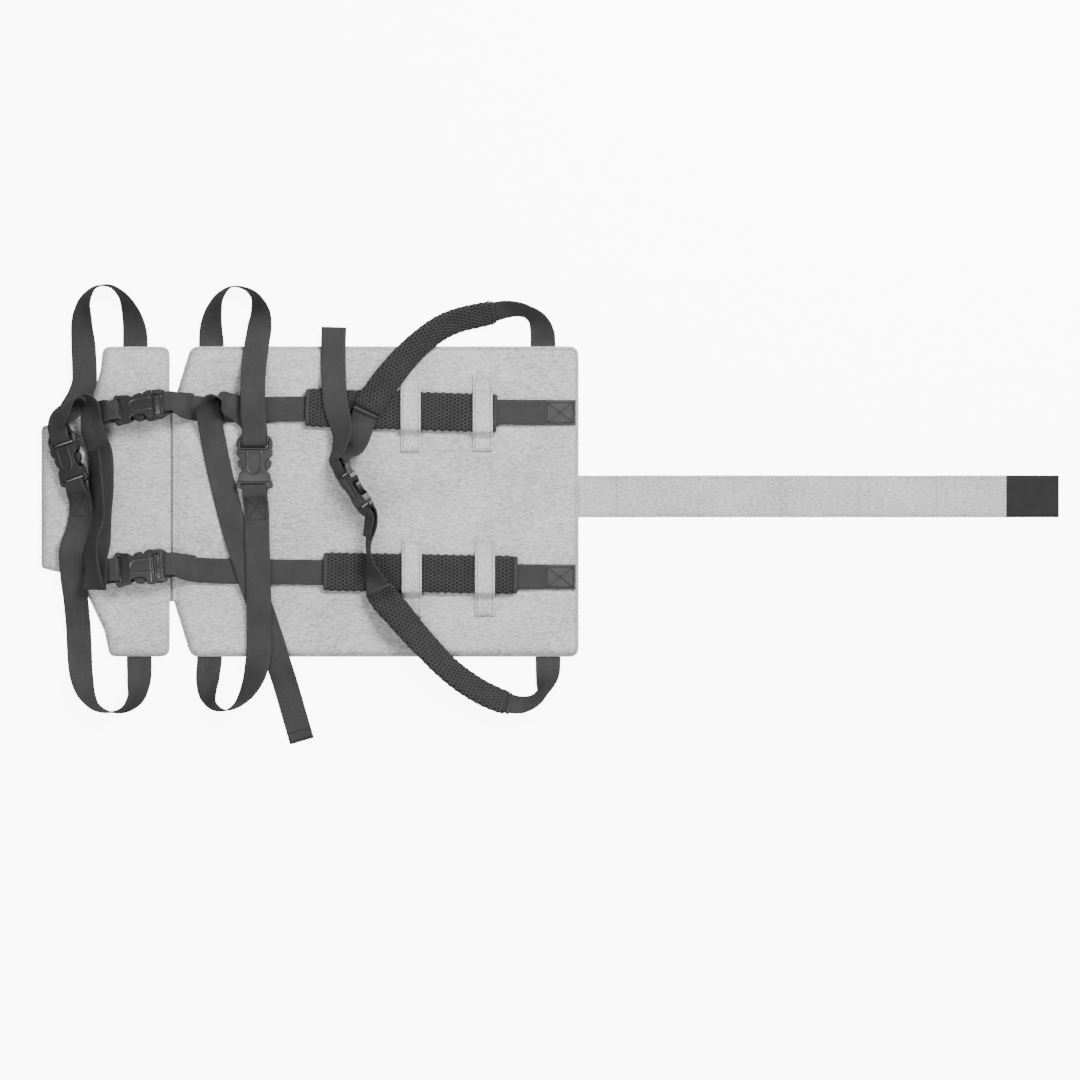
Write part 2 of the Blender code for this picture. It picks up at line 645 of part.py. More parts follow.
# ---------------------------------------------------------------- straps, pads and keepers

STRAP_SEWN = (200.0, 168.0)  # the end sewn down on the panel
PADS = {
    "top": ((-70.0, 94.0), (121.5, 88.0)),
    "bottom": ((-52.0, -70.0), (142.0, -73.5)),
}


def cross_strap(side, frame, near, ways, tail_ways):
    """A strap sewn down at the right that runs through its pad to the ladder lock."""
    route = tail_ways + ladder_turn(frame, -1, SECOND_BAR, SECOND_BAR + BAR_WIDTH + 1)
    route += near + [lay(x, y, STRAP_LIFT) for x, y in ways]
    end_y = ways[-1][1]
    route += [lay(STRAP_SEWN[1] - 6, end_y, STRAP_LIFT - 0.3),
              lay(STRAP_SEWN[1] + 4, end_y, ON_PANEL), lay(STRAP_SEWN[0], end_y, ON_PANEL)]
    belt("cross_strap_" + side, route)


def cross_straps():
    cross_strap("top", FRAMES["top"],
                [over(-193.5, 96.3, 18, -29), over(-181, 93.3, 11.9, -3)],
                [(-168, 92), (-120, 92), (-70, 92.6), (25, 92), (121, 89.5), (150, 89)],
                [over(-183.5, 95.5, 9.8, 3), over(-193, 97.3, 10.3, 27)])
    cross_strap("bottom", FRAMES["bottom"],
                [over(-192, -65.3, 15.2, -17), over(-181, -68, 11.8, -2)],
                [(-168, -69), (-120, -70), (-52, -71), (45, -72.5), (142, -75), (152, -75.4)],
                [over(-182, -66.5, 9.8, 2), over(-192, -64.4, 10, 16)])


def straight_pad(side):
    """A sleeve with rounded ends, in its own frame so that it can slide along its length."""
    (x0, y0), (x1, y1) = PADS[side]
    half_long = math.hypot(x1 - x0, y1 - y0) / 2
    half_wide = SLEEVE_WIDTH / 2
    corners = ((half_long, -half_wide, 5), (half_long, half_wide, 5),
               (-half_long, half_wide, 5), (-half_long, -half_wide, 5))
    outline = rounded(corners)
    shoulder = inset(outline, 2.0)
    bm = bmesh.new()
    rings = [[bm.verts.new((p.x, p.y, z)) for p in points] for points, z in (
        (outline, ON_PANEL), (outline, SLEEVE_TOP - 2.0), (shoulder, SLEEVE_TOP))]
    bm.faces.new(rings[0])
    bm.faces.new(rings[-1])
    for a, b in zip(rings, rings[1:]):
        for i in range(len(outline)):
            j = (i + 1) % len(outline)
            bm.faces.new((a[i], a[j], b[j], b[i]))
    slot = box_mesh("slot", (-half_long - 5, -SLEEVE_SLOT / 2, STRAP_LIFT - GAP),
                    (half_long + 5, SLEEVE_SLOT / 2, OVER_STRAP))
    turn = Matrix.Rotation(math.atan2(y1 - y0, x1 - x0), 4, "Z")
    spot = Matrix.Translation(Vector(((x0 + x1) / 2, (y0 + y1) / 2, 0)) * MM)
    place("pad_" + side, cut_mesh(to_mesh("pad", bm), (("DIFFERENCE", slot),)), MESH,
          matrix=spot @ turn)


KEEPERS = (
    ("keeper_top_left", 35.3, (124.0, 49.8), "top"),
    ("keeper_top_right", 107.3, (125.0, 50.5), "top"),
    ("keeper_bottom_left", 36.4, (-36.8, -115.5), "bottom"),
    ("keeper_bottom_right", 109.5, (-36.8, -114.3), "bottom"),
)


def keeper(node, x, ends, side):
    """A fabric loop sewn down on both sides of a pad, arched over it."""
    (x0, y0), (x1, y1) = PADS[side]
    middle = y0 + (y1 - y0) * (x - x0) / (x1 - x0)
    foot = SLEEVE_WIDTH / 2 + KEEPER_STAND_OFF
    rise = SLEEVE_WIDTH / 2 - 1.0
    size = {"half_width": KEEPER_WIDTH / 2, "half_thick": KEEPER_THICK / 2}
    shoulder = (ON_PANEL + SLEEVE_TOP) / 2
    ways = [(ends[0], ON_PANEL), (middle + foot + 3.5, ON_PANEL),
            (middle + foot, shoulder), (middle + rise, OVER_PAD + 0.2), (middle, OVER_PAD + 0.2),
            (middle - rise, OVER_PAD + 0.2), (middle - foot, shoulder),
            (middle - foot - 3.5, ON_PANEL), (ends[1], ON_PANEL)]
    frames, marks = sections([lay(x, y, lift, **size) for y, lift in ways], 9.0)
    place(node, ribbon_mesh(node, frames, KEEPER_WIDTH, KEEPER_THICK), FABRIC)


def buckle_tab(side, frame, ends, flap):
    """The short doubled webbing that sews a socket down on the flap."""
    (x0, y0), (x1, y1) = ends
    roll = {"top": 18, "bottom": 9}[side]
    route = [lay(x0, y0, ON_PANEL), lay(x1, y1, ON_PANEL + 0.1, -roll)]
    route += socket_turn(frame, -1)
    route += [lay(x1, y1 + 0.1, ON_PANEL + 2.8, roll), lay(x0, y0, ON_PANEL + 1.9)]
    belt("buckle_tab_" + side, route, flap)


# ---------------------------------------------------------------- fastening strip

def strip():
    low, high = STRIP_CENTRE_Y - STRIP_WIDTH / 2, STRIP_CENTRE_Y + STRIP_WIDTH / 2
    edges = (PANEL_RIGHT,) + STRIP_FOLDS + (STRIP_END,)
    half_gap = STRIP_HINGE_GAP / 2
    last = len(edges) - 2
    for i, (start, end) in enumerate(zip(edges, edges[1:])):
        first = start + (STRIP_HINGE_GAP if i == 0 else half_gap)
        hinge = Vector((start + (half_gap if i == 0 else 0), STRIP_CENTRE_Y, STRIP_THICK))
        stop = end if i == last else end - half_gap
        mesh = box_mesh("strip", (first - hinge.x, low - hinge.y, -hinge.z),
                        (stop - hinge.x, high - hinge.y, 0))
        place("strip_%d" % (i + 1), mesh, FABRIC, matrix=Matrix.Translation(hinge * MM))
    base = STRIP_THICK + GAP
    patch = box_mesh("patch", (STRIP_END - PATCH_LENGTH, low, base),
                     (STRIP_END, high, base + PATCH_THICK))
    place("hook_patch", patch, HOOKS, 0.95)


def fold_web():
    """The sewn fold: a strip of cover fabric between the panel and the flap."""
    mesh = box_mesh("fold", (PANEL_LEFT - FLAP_GAP + GAP, GAP - NOTCH_HALF_WIDTH, FRONT_BASE - 0.5),
                    (PANEL_LEFT - GAP, NOTCH_HALF_WIDTH - GAP, PANEL_TOP - 0.5))
    place("fold_web", mesh, FABRIC)


def main():
    clear_scene()
    pivot = Matrix.Translation(Vector((FOLD_X, 0, PANEL_TOP)) * MM)
    flap = bpy.data.objects.new("flap_pivot", None)
    bpy.context.collection.objects.link(flap)
    flap.matrix_world = pivot
    rest = bpy.data.objects.new("flap_rest", None)
    bpy.context.collection.objects.link(rest)
    rest.parent = flap
    rest.matrix_local = pivot.inverted()

    padded_panel("panel", panel_corners(), [
        (x, side * PANEL_HALF_WIDTH) for name in ("middle", "end")
        for x, side in zip(EXITS[name], (1, -1))])
    padded_panel("flap", flap_corners(), [
        (x, side * PANEL_HALF_WIDTH) for x, side in zip(EXITS["flap"], (1, -1))], rest)
    fold_web()
    flap_belt(rest)
    middle_belt()
    end_belt()
    cross_straps()
    for side in PADS:
        straight_pad(side)
    for each in KEEPERS:
        keeper(*each)
    buckle_tab("top", FRAMES["top"], ((-283, 87.2), (-276.5, 88.2)), rest)
    buckle_tab("bottom", FRAMES["bottom"], ((-283, -70.8), (-274, -70.2)), rest)
    meshes = (socket_mesh(), plug_mesh(), {1: prong_mesh(1), -1: prong_mesh(-1)})
    for tag, frame in FRAMES.items():
        on_flap = tag in ("top", "bottom", "flap_belt")
        build_buckle(tag, frame, meshes, rest if on_flap else None)
    strip()


main()
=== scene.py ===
import math

import bmesh
import bpy
import numpy as np
from mathutils import Matrix, Vector, noise


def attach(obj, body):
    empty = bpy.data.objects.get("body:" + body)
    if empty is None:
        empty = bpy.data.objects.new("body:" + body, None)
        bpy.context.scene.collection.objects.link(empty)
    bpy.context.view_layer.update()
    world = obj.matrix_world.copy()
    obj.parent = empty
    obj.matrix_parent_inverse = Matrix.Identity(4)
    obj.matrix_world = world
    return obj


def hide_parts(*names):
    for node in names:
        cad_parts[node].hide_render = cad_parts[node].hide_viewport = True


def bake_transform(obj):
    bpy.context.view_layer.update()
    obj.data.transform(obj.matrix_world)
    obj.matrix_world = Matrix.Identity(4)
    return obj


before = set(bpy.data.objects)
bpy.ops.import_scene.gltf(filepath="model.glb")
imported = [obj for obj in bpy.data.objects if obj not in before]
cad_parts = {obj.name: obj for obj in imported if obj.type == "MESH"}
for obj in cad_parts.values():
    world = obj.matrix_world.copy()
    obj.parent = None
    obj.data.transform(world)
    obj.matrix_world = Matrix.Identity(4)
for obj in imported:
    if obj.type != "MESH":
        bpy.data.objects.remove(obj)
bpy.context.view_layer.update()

# Sizes are in millimetres until a mesh is made.
MM = 0.001
PANEL_RIGHT, PANEL_LEFT, PANEL_HALF_WIDTH = 203.5, -202.0, 155.5
NOTCH_HALF_WIDTH, NOTCH_RUN, CORNER_RADIUS = 101.0, 17.0, 9.0
FLAP_GAP, FLAP_LENGTH, FLAP_BODY = 4.0, 129.0, 65.0
TAB_TOP, TAB_BOTTOM = 75.0, -66.8
WEB_WIDTH, WEB_THICK = 25.0, 1.5
INNER_WEB, PANEL_TOP, ON_PANEL, TABLE = 1.3, 9.4, 9.7, 0.6
STRAP_LIFT, SLEEVE_TOP, OVER_PAD = 11.6, 16.4, 16.7
SLEEVE_WIDTH, CURVED_PAD_WIDTH, CURVED_PAD_THICK = 38.0, 29.0, 6.4
KEEPER_WIDTH, KEEPER_THICK, KEEPER_STAND_OFF = 20.0, 1.2, 2.6
STRIP_WIDTH, STRIP_CENTRE_Y, STRIP_THICK = 42.0, 5.2, 2.4
STRIP_FOLDS = (203.5, 278.0, 367.7, 443.5, 521.0, 602.0)
STRIP_END, PATCH_LENGTH = 684.0, 52.5
HALF_WIDTH, HALF_THICK, SOCKET_LENGTH, PLUG_REACH = 18.5, 4.75, 39.5, 15.5
SLOT_HALF = WEB_WIDTH / 2 + 1.2
BAR_HALF_THICK, BAR_WIDTH, SLOT_WIDTH = 1.7, 2.3, 3.8
CAVITY_HALF, CAVITY_HEIGHT, CAVITY_DEPTH = 14.5, 3.0, 25.0
ROUTE_CLEAR = BAR_HALF_THICK + WEB_THICK / 2 + 0.35
BAR_REACH = 4.5  # how far past a bar its webbing is guided
FIRST_BAR = 2.2 + SLOT_WIDTH
SECOND_BAR = FIRST_BAR + BAR_WIDTH + SLOT_WIDTH
FOLD_X = PANEL_LEFT - FLAP_GAP / 2


# ---------------------------------------------------------------- finishes

def new_group(name, inputs, outputs):
    tree = bpy.data.node_groups.new(name, "ShaderNodeTree")
    kinds = {"v": "NodeSocketVector", "f": "NodeSocketFloat", "c": "NodeSocketColor"}
    for label, kind, value in inputs:
        made = tree.interface.new_socket(label, in_out="INPUT", socket_type=kinds[kind])
        if value is not None:
            made.default_value = value
    for label, kind in outputs:
        tree.interface.new_socket(label, in_out="OUTPUT", socket_type=kinds[kind])
    return tree, tree.nodes.new("NodeGroupInput"), tree.nodes.new("NodeGroupOutput")


def math_node(tree, operation, a, b=None, c=None):
    node = tree.nodes.new("ShaderNodeMath")
    node.operation = operation
    for socket, value in zip(node.inputs, (a, b, c)):
        if value is None:
            continue
        if isinstance(value, (int, float)):
            socket.default_value = value
        else:
            tree.links.new(value, socket)
    return node.outputs[0]


def stretched_noise(tree, vector, scale, detail, roughness=0.5):
    mapping = tree.nodes.new("ShaderNodeMapping")
    mapping.inputs["Scale"].default_value = scale
    tree.links.new(vector, mapping.inputs["Vector"])
    cloud = tree.nodes.new("ShaderNodeTexNoise")
    cloud.inputs["Scale"].default_value = 1.0
    cloud.inputs["Detail"].default_value = detail
    cloud.inputs["Roughness"].default_value = roughness
    tree.links.new(mapping.outputs[0], cloud.inputs["Vector"])
    return cloud.outputs["Fac"]


def spread(tree, value, low, high):
    node = tree.nodes.new("ShaderNodeMapRange")
    node.inputs["From Min"].default_value = low
    node.inputs["From Max"].default_value = high
    tree.links.new(value, node.inputs["Value"])
    return node.outputs["Result"]


# Features per metre in each direction, and the sine waves in radians per metre.
STREAKS, KNIT, CLOUDS, KNIT_ROWS = (230, 1050, 480), (1000, 2300, 1000), (16, 22, 16), 6300
WORN_TAPE, UNEVEN = (60, 25, 60), (90, 90, 90)


def melange_group():
    """Yarn of mixed pale and dark fibres: broken streaks across and a soft knit grain."""
    tree, entry, leave = new_group(
        "mixed_yarn", (("Vector", "v", None), ("Streak", "f", 0.55), ("Grain", "f", 0.3)),
        (("Shade", "f"), ("Height", "f"), ("Fuzz", "f")))
    at = entry.outputs["Vector"]
    streak = spread(tree, stretched_noise(tree, at, STREAKS, 5, 0.7), 0.35, 0.65)
    grain = spread(tree, stretched_noise(tree, at, KNIT, 2), 0.3, 0.7)
    cloud = spread(tree, stretched_noise(tree, at, CLOUDS, 2), 0.3, 0.7)
    both = math_node(tree, "MULTIPLY_ADD", streak, entry.outputs["Streak"],
                     math_node(tree, "MULTIPLY", grain, entry.outputs["Grain"]))
    tree.links.new(math_node(tree, "MULTIPLY_ADD", cloud, 0.12, both), leave.inputs["Shade"])
    parts = tree.nodes.new("ShaderNodeSeparateXYZ")
    tree.links.new(at, parts.inputs[0])
    rows = math_node(tree, "SINE", math_node(tree, "MULTIPLY", parts.outputs["Y"], KNIT_ROWS))
    tree.links.new(math_node(tree, "MULTIPLY_ADD", rows, 0.25, grain), leave.inputs["Height"])
    tree.links.new(cloud, leave.inputs["Fuzz"])
    return tree


def weave_group():
    """Plain weave of tight tape: warp columns that rise and fall between weft rows."""
    tree, entry, leave = new_group(
        "tape_weave", (("Vector", "v", None), ("Across", "f", 2600.0), ("Along", "f", 3400.0)),
        (("Height", "f"), ("Shade", "f")))
    parts = tree.nodes.new("ShaderNodeSeparateXYZ")
    tree.links.new(entry.outputs["Vector"], parts.inputs[0])
    across = math_node(tree, "SINE", math_node(tree, "MULTIPLY", parts.outputs["X"],
                                               entry.outputs["Across"]))
    along = math_node(tree, "SINE", math_node(tree, "MULTIPLY", parts.outputs["Y"],
                                              entry.outputs["Along"]))
    cross = math_node(tree, "MULTIPLY", across, along)
    tree.links.new(math_node(tree, "MULTIPLY_ADD", cross, 0.5, 0.5), leave.inputs["Height"])
    worn = stretched_noise(tree, entry.outputs["Vector"], WORN_TAPE, 3)
    # The colour follows the weave height: painted shade in the hollows and painted highlight on
    # the raised threads, with the worn tone added.
    tree.links.new(math_node(tree, "MULTIPLY_ADD", cross, 0.18, worn), leave.inputs["Shade"])
    return tree


def grain_group():
    """Slight unevenness of a moulded or synthetic face."""
    tree, entry, leave = new_group(
        "fine_grain", (("Vector", "v", None), ("Size", "f", 900.0)),
        (("Height", "f"), ("Patch", "f")))
    scale = tree.nodes.new("ShaderNodeVectorMath")
    scale.operation = "SCALE"
    tree.links.new(entry.outputs["Vector"], scale.inputs[0])
    tree.links.new(entry.outputs["Size"], scale.inputs["Scale"])
    tree.links.new(stretched_noise(tree, scale.outputs[0], (1, 1, 1), 3), leave.inputs["Height"])
    tree.links.new(stretched_noise(tree, entry.outputs["Vector"], UNEVEN, 3),
                   leave.inputs["Patch"])
    return tree


GROUPS = {"yarn": melange_group(), "weave": weave_group(), "grain": grain_group()}


def grey(value):
    """A barely blue grey."""
    return (value, value, value * 1.02, 1)


def finish(name, group, settings, tones, roughness, bump, sheen=0.0, uv=False, shade="Shade",
           turn=0.0):
    """One material: a shared pattern group between two greys, with its roughness and bump."""
    made = bpy.data.materials.new(name)
    made.use_nodes = True
    tree = made.node_tree
    shader = tree.nodes["Principled BSDF"]
    shader.inputs["Sheen Weight"].default_value = sheen
    shader.inputs["Sheen Roughness"].default_value = 0.5
    shader.inputs["Specular IOR Level"].default_value = 0.3 if sheen else 0.5
    place = tree.nodes.new("ShaderNodeTexCoord")
    pattern = tree.nodes.new("ShaderNodeGroup")
    pattern.node_tree = GROUPS[group]
    mapping = tree.nodes.new("ShaderNodeMapping")
    mapping.inputs["Rotation"].default_value = (0, 0, math.radians(turn))
    tree.links.new(place.outputs["UV" if uv else "Object"], mapping.inputs["Vector"])
    tree.links.new(mapping.outputs["Vector"], pattern.inputs["Vector"])
    for key, value in settings.items():
        pattern.inputs[key].default_value = value
    ramp = tree.nodes.new("ShaderNodeMix")
    ramp.data_type = "RGBA"
    ramp.inputs["A"].default_value = grey(tones[0])
    ramp.inputs["B"].default_value = grey(tones[1])
    tree.links.new(pattern.outputs[shade], ramp.inputs["Factor"])
    tree.links.new(ramp.outputs["Result"], shader.inputs["Base Color"])
    rough = tree.nodes.new("ShaderNodeMapRange")
    rough.inputs["To Min"].default_value, rough.inputs["To Max"].default_value = roughness
    tree.links.new(pattern.outputs["Height"], rough.inputs["Value"])
    tree.links.new(rough.outputs["Result"], shader.inputs["Roughness"])
    relief = tree.nodes.new("ShaderNodeBump")
    relief.inputs["Strength"].default_value = bump[0]
    relief.inputs["Distance"].default_value = bump[1]
    tree.links.new(pattern.outputs["Height"], relief.inputs["Height"])
    tree.links.new(relief.outputs["Normal"], shader.inputs["Normal"])
    return made


FINISHES = {
    "cloth": finish("heather_cloth", "yarn", {}, (0.08, 0.76),
                    (0.8, 0.95), (0.45, 0.0007), sheen=0.1),
    "loop_cloth": finish("heather_cloth_turned", "yarn", {}, (0.07, 0.78),
                         (0.8, 0.95), (0.45, 0.0007), sheen=0.1, turn=90),
    "web": finish("woven_tape", "weave", {}, (0.014, 0.034),
                  (0.65, 0.85), (0.5, 0.0005), sheen=0.03, uv=True),
    "pale_web": finish("sewn_tape_end", "weave", {}, (0.026, 0.06),
                       (0.65, 0.85), (0.5, 0.0005), sheen=0.05, uv=True),
    "net": finish("pad_net", "grain", {"Size": 1500.0}, (0.012, 0.03),
                  (0.7, 0.9), (0.3, 0.0004), shade="Patch"),
    "core": finish("pad_inside", "grain", {"Size": 1500.0}, (0.002, 0.006),
                   (0.85, 0.95), (0.3, 0.0004), shade="Patch"),
    "hook": finish("hook_tape", "grain", {"Size": 2200.0}, (0.005, 0.015),
                   (0.7, 0.9), (0.5, 0.0004), shade="Patch"),
    "plastic": finish("moulded_plastic", "grain", {"Size": 1300.0}, (0.009, 0.016),
                      (0.38, 0.52), (0.1, 0.0002), shade="Patch"),
    # Real stitch thread, its grey set dark so the sewn lines also carry painted shade along the
    # panel rim, keeper edges and strip seams.
    "seam_shade_thread": finish("seam_shade_thread", "grain", {"Size": 3000.0}, (0.14, 0.28),
                          (0.6, 0.8), (0.2, 0.0002), shade="Patch"),
    "dark_thread": finish("dark_thread", "grain", {"Size": 3000.0}, (0.004, 0.01),
                          (0.5, 0.7), (0.2, 0.0002), shade="Patch"),
}


# ---------------------------------------------------------------- making pieces

def placed(name, data):
    thing = bpy.data.objects.new(name, data)
    bpy.context.collection.objects.link(thing)
    return thing


def evaluated(body):
    """The object's mesh after its modifiers; the object itself is removed."""
    bpy.context.view_layer.update()
    graph = bpy.context.evaluated_depsgraph_get()
    result = bpy.data.meshes.new_from_object(body.evaluated_get(graph))
    bpy.data.objects.remove(body, do_unlink=True)
    return result


def piece(name, points, faces, look, uv=None):
    """A mesh in millimetres made an object in metres; uv is one (across, along) per point."""
    mesh = bpy.data.meshes.new(name)
    mesh.from_pydata([tuple(c * MM for c in p) for p in points], [], faces)
    if uv is not None:
        layer = mesh.uv_layers.new(name="run")
        index = np.empty(len(mesh.loops), np.int32)
        mesh.loops.foreach_get("vertex_index", index)
        layer.data.foreach_set("uv", (np.array(uv, np.float32)[index] * MM).ravel())
    return dress(name, mesh, look)


def dress(name, mesh, look):
    thing = placed(name, mesh)
    mesh.materials.clear()
    mesh.materials.append(FINISHES[look])
    mesh.polygons.foreach_set("use_smooth", [True] * len(mesh.polygons))
    return thing


def with_modifiers(mesh, steps):
    """The mesh after modifiers, given as (kind, {setting: value})."""
    body = placed("work", mesh)
    for kind, settings in steps:
        step = body.modifiers.new("step", kind)
        for key, value in settings.items():
            setattr(step, key, value)
    return evaluated(body)


def rounded(corners):
    """An outline whose corners, (x, y, radius), are rounded."""
    outline = []
    for i, (x, y, radius) in enumerate(corners):
        here = Vector((x, y))
        before = Vector(corners[i - 1][:2]) - here
        after = Vector(corners[(i + 1) % len(corners)][:2]) - here
        turn = before.angle(after)
        reach = radius / math.tan(turn / 2)
        start, end = here + before.normalized() * reach, here + after.normalized() * reach
        steps = max(2, round((math.pi - turn) * 4))
        for k in range(steps + 1):
            t = k / steps
            outline.append(start * (1 - t) ** 2 + here * 2 * t * (1 - t) + end * t * t)
    return outline


def inset(outline, distance):
    """The outline moved inwards; it runs anticlockwise."""
    moved = []
    for i, here in enumerate(outline):
        before = (here - outline[i - 1]).normalized()
        after = (outline[(i + 1) % len(outline)] - here).normalized()
        normal = Vector((-before.y - after.y, before.x + after.x)).normalized()
        stretch = max(0.5, normal.dot(Vector((-after.y, after.x))))
        moved.append(here + normal * distance / stretch)
    return moved


def outward(mesh):
    tidy = bmesh.new()
    tidy.from_mesh(mesh)
    bmesh.ops.recalc_face_normals(tidy, faces=tidy.faces)
    tidy.to_mesh(mesh)
    tidy.free()
    return mesh


def tube_faces(rings, count):
    """A closed tube of rings, each of count points, with a cap at each end."""
    faces = []
    for i in range(rings - 1):
        for k in range(count):
            j = (k + 1) % count
            faces.append((i * count + k, i * count + j, (i + 1) * count + j, (i + 1) * count + k))
    end = (rings - 1) * count
    return faces + [tuple(range(count)), tuple(range(end, end + count))[::-1]]


def sheet_faces(columns, rows):
    """A closed sheet whose two faces are grids, joined round their rim."""
    layer, faces = columns * rows, []
    for side in (0, 1):
        for i in range(columns - 1):
            for j in range(rows - 1):
                a = side * layer + i * rows + j
                quad = (a, a + rows, a + rows + 1, a + 1)
                faces.append(quad if side == 0 else quad[::-1])
    rim = ([i * rows for i in range(columns)]
           + [(columns - 1) * rows + j for j in range(1, rows)]
           + [i * rows + rows - 1 for i in range(columns - 2, -1, -1)]
           + list(range(rows - 2, 0, -1)))
    return faces + [(b, a, a + layer, b + layer) for a, b in zip(rim, rim[1:] + rim[:1])]


def slab(outline, low, high):
    mesh = bpy.data.meshes.new("slab")
    count = len(outline)
    points = [(p[0], p[1], z) for z in (low, high) for p in outline]
    faces = [list(range(count))[::-1], list(range(count, 2 * count))]
    faces += [(i, (i + 1) % count, count + (i + 1) % count, count + i) for i in range(count)]
    mesh.from_pydata(points, [], faces)
    return outward(mesh)


def block(low, high):
    return slab(((low[0], low[1]), (high[0], low[1]), (high[0], high[1]), (low[0], high[1])),
                low[2], high[2])


def cut(mesh, tools):
    """Boolean steps, (operation, mesh), on a mesh."""
    helpers, steps = [], []
    for operation, tool in tools:
        helpers.append(placed("tool", tool))
        steps.append(("BOOLEAN", {"operation": operation, "object": helpers[-1],
                                  "solver": "EXACT"}))
    result = with_modifiers(mesh, steps)
    for helper in helpers:
        bpy.data.objects.remove(helper, do_unlink=True)
    return result


def coordinates(mesh):
    found = np.empty(len(mesh.vertices) * 3, np.float32)
    mesh.vertices.foreach_get("co", found)
    return found.reshape(-1, 3).astype(float)


# ---------------------------------------------------------------- repeats

def laying_tree():
    """Puts a small piece at each point, its Z to the face and its X along the run."""
    tree = bpy.data.node_groups.new("lay_repeats", "GeometryNodeTree")
    for label, kind in (("Geometry", "Geometry"), ("Piece", "Object"), ("Size", "Float"),
                        ("Finish", "Material")):
        tree.interface.new_socket(label, in_out="INPUT", socket_type="NodeSocket" + kind)
    tree.interface.new_socket("Geometry", in_out="OUTPUT", socket_type="NodeSocketGeometry")
    new, join = tree.nodes.new, tree.links.new
    entry, leave = new("NodeGroupInput"), new("NodeGroupOutput")
    info, put = new("GeometryNodeObjectInfo"), new("GeometryNodeInstanceOnPoints")
    join(entry.outputs["Piece"], info.inputs["Object"])
    turn = None
    for attribute, axis in (("face", "Z"), ("along", "X")):
        read = new("GeometryNodeInputNamedAttribute")
        read.data_type = "FLOAT_VECTOR"
        read.inputs["Name"].default_value = attribute
        align = new("FunctionNodeAlignRotationToVector")
        align.axis = axis
        if turn is not None:
            align.pivot_axis = "Z"
            join(turn, align.inputs["Rotation"])
        join(read.outputs["Attribute"], align.inputs["Vector"])
        turn = align.outputs["Rotation"]
    join(entry.outputs["Geometry"], put.inputs["Points"])
    join(info.outputs["Geometry"], put.inputs["Instance"])
    join(turn, put.inputs["Rotation"])
    join(entry.outputs["Size"], put.inputs["Scale"])
    real, paint = new("GeometryNodeRealizeInstances"), new("GeometryNodeSetMaterial")
    join(put.outputs["Instances"], real.inputs["Geometry"])
    join(real.outputs["Geometry"], paint.inputs["Geometry"])
    join(entry.outputs["Finish"], paint.inputs["Material"])
    join(paint.outputs["Geometry"], leave.inputs["Geometry"])
    return tree


LAYING = laying_tree()
SOCKETS = {item.name: item.identifier for item in LAYING.interface.items_tree
           if item.in_out == "INPUT"}


def lay_repeats(name, places, shape, look, size=1.0):
    """places are (point, face, along) in millimetres; shape is the mesh laid at each."""
    mesh = bpy.data.meshes.new(name + "_points")
    mesh.from_pydata([tuple(p[0] * MM) for p in places], [], [])
    for column, label in ((1, "face"), (2, "along")):
        layer = mesh.attributes.new(label, "FLOAT_VECTOR", "POINT")
        layer.data.foreach_set("vector", np.array([tuple(p[column]) for p in places],
                                                  np.float32).ravel())
    cell, body = placed("cell", shape), placed("work", mesh)
    step = body.modifiers.new("lay", "NODES")
    step.node_group = LAYING
    step[SOCKETS["Piece"]] = cell
    step[SOCKETS["Size"]] = size
    step[SOCKETS["Finish"]] = FINISHES[look]
    result = evaluated(body)
    bpy.data.objects.remove(cell, do_unlink=True)
    return dress(name, result, look)


def lathe_along(radii, stations, sides):
    """A closed mesh round the X axis, in metres, with a tip at each end."""
    points = [(stations[0] * MM, 0, 0)]
    for x, r in zip(stations[1:-1], radii):
        points += [(x * MM, r * MM * math.cos(2 * math.pi * k / sides),
                    r * MM * math.sin(2 * math.pi * k / sides)) for k in range(sides)]
    points.append((stations[-1] * MM, 0, 0))
    last = len(points) - 1
    faces = []
    for k in range(sides):
        j = (k + 1) % sides
        faces.append((0, 1 + j, 1 + k))
        for i in range(len(radii) - 1):
            a = 1 + i * sides
            faces.append((a + k, a + j, a + sides + j, a + sides + k))
        a = 1 + (len(radii) - 1) * sides
        faces.append((a + k, a + j, last))
    mesh = bpy.data.meshes.new("stitch")
    mesh.from_pydata(points, [], faces)
    return mesh


SEAM_PITCH, SEWING_PITCH, BAR_TACK_SIZE = 3.4, 3.0, 1.25


def stitch_shape():
    return lathe_along((0.28, 0.36, 0.28), (-1.25, -0.95, 0, 0.95, 1.25), 5)


def ring_cell(outer, inner, high):
    """One opening of the net: a six-sided ring, in metres."""
    mesh = bpy.data.meshes.new("opening")
    points = []
    for (wide, long), z in ((outer, -high), (outer, 0.2), (inner, 0.2), (inner, -high)):
        for k in range(6):
            turn = math.pi / 3 * k
            points.append((long * math.cos(turn) * MM, wide * math.sin(turn) * MM, z * MM))
    faces = [(6 * r + k, 6 * r + (k + 1) % 6, 6 * r + 6 + (k + 1) % 6, 6 * r + 6 + k)
             for r in range(3) for k in range(6)]
    mesh.from_pydata(points, [], faces)
    return mesh


def stitches_on(lines, spacing=SEAM_PITCH):
    """Places for stitches along lines of (point, face), spaced evenly."""
    places = []
    for line in lines:
        for (a, face_a), (b, face_b) in zip(line, line[1:]):
            run = b - a
            count = max(1, round(run.length / spacing))
            for k in range(count):
                t = (k + 0.5) / count
                face = face_a.lerp(face_b, t).normalized()
                places.append((a.lerp(b, t) + face * 0.12, face, run.normalized()))
    return places


# ---------------------------------------------------------------- padded panel and flap

def panel_corners():
    right, left, half = PANEL_RIGHT, PANEL_LEFT, PANEL_HALF_WIDTH
    return ((right, -half, CORNER_RADIUS), (right, half, CORNER_RADIUS),
            (left + NOTCH_RUN, half, CORNER_RADIUS), (left, NOTCH_HALF_WIDTH, 6),
            (left, -NOTCH_HALF_WIDTH, 6), (left + NOTCH_RUN, -half, CORNER_RADIUS))


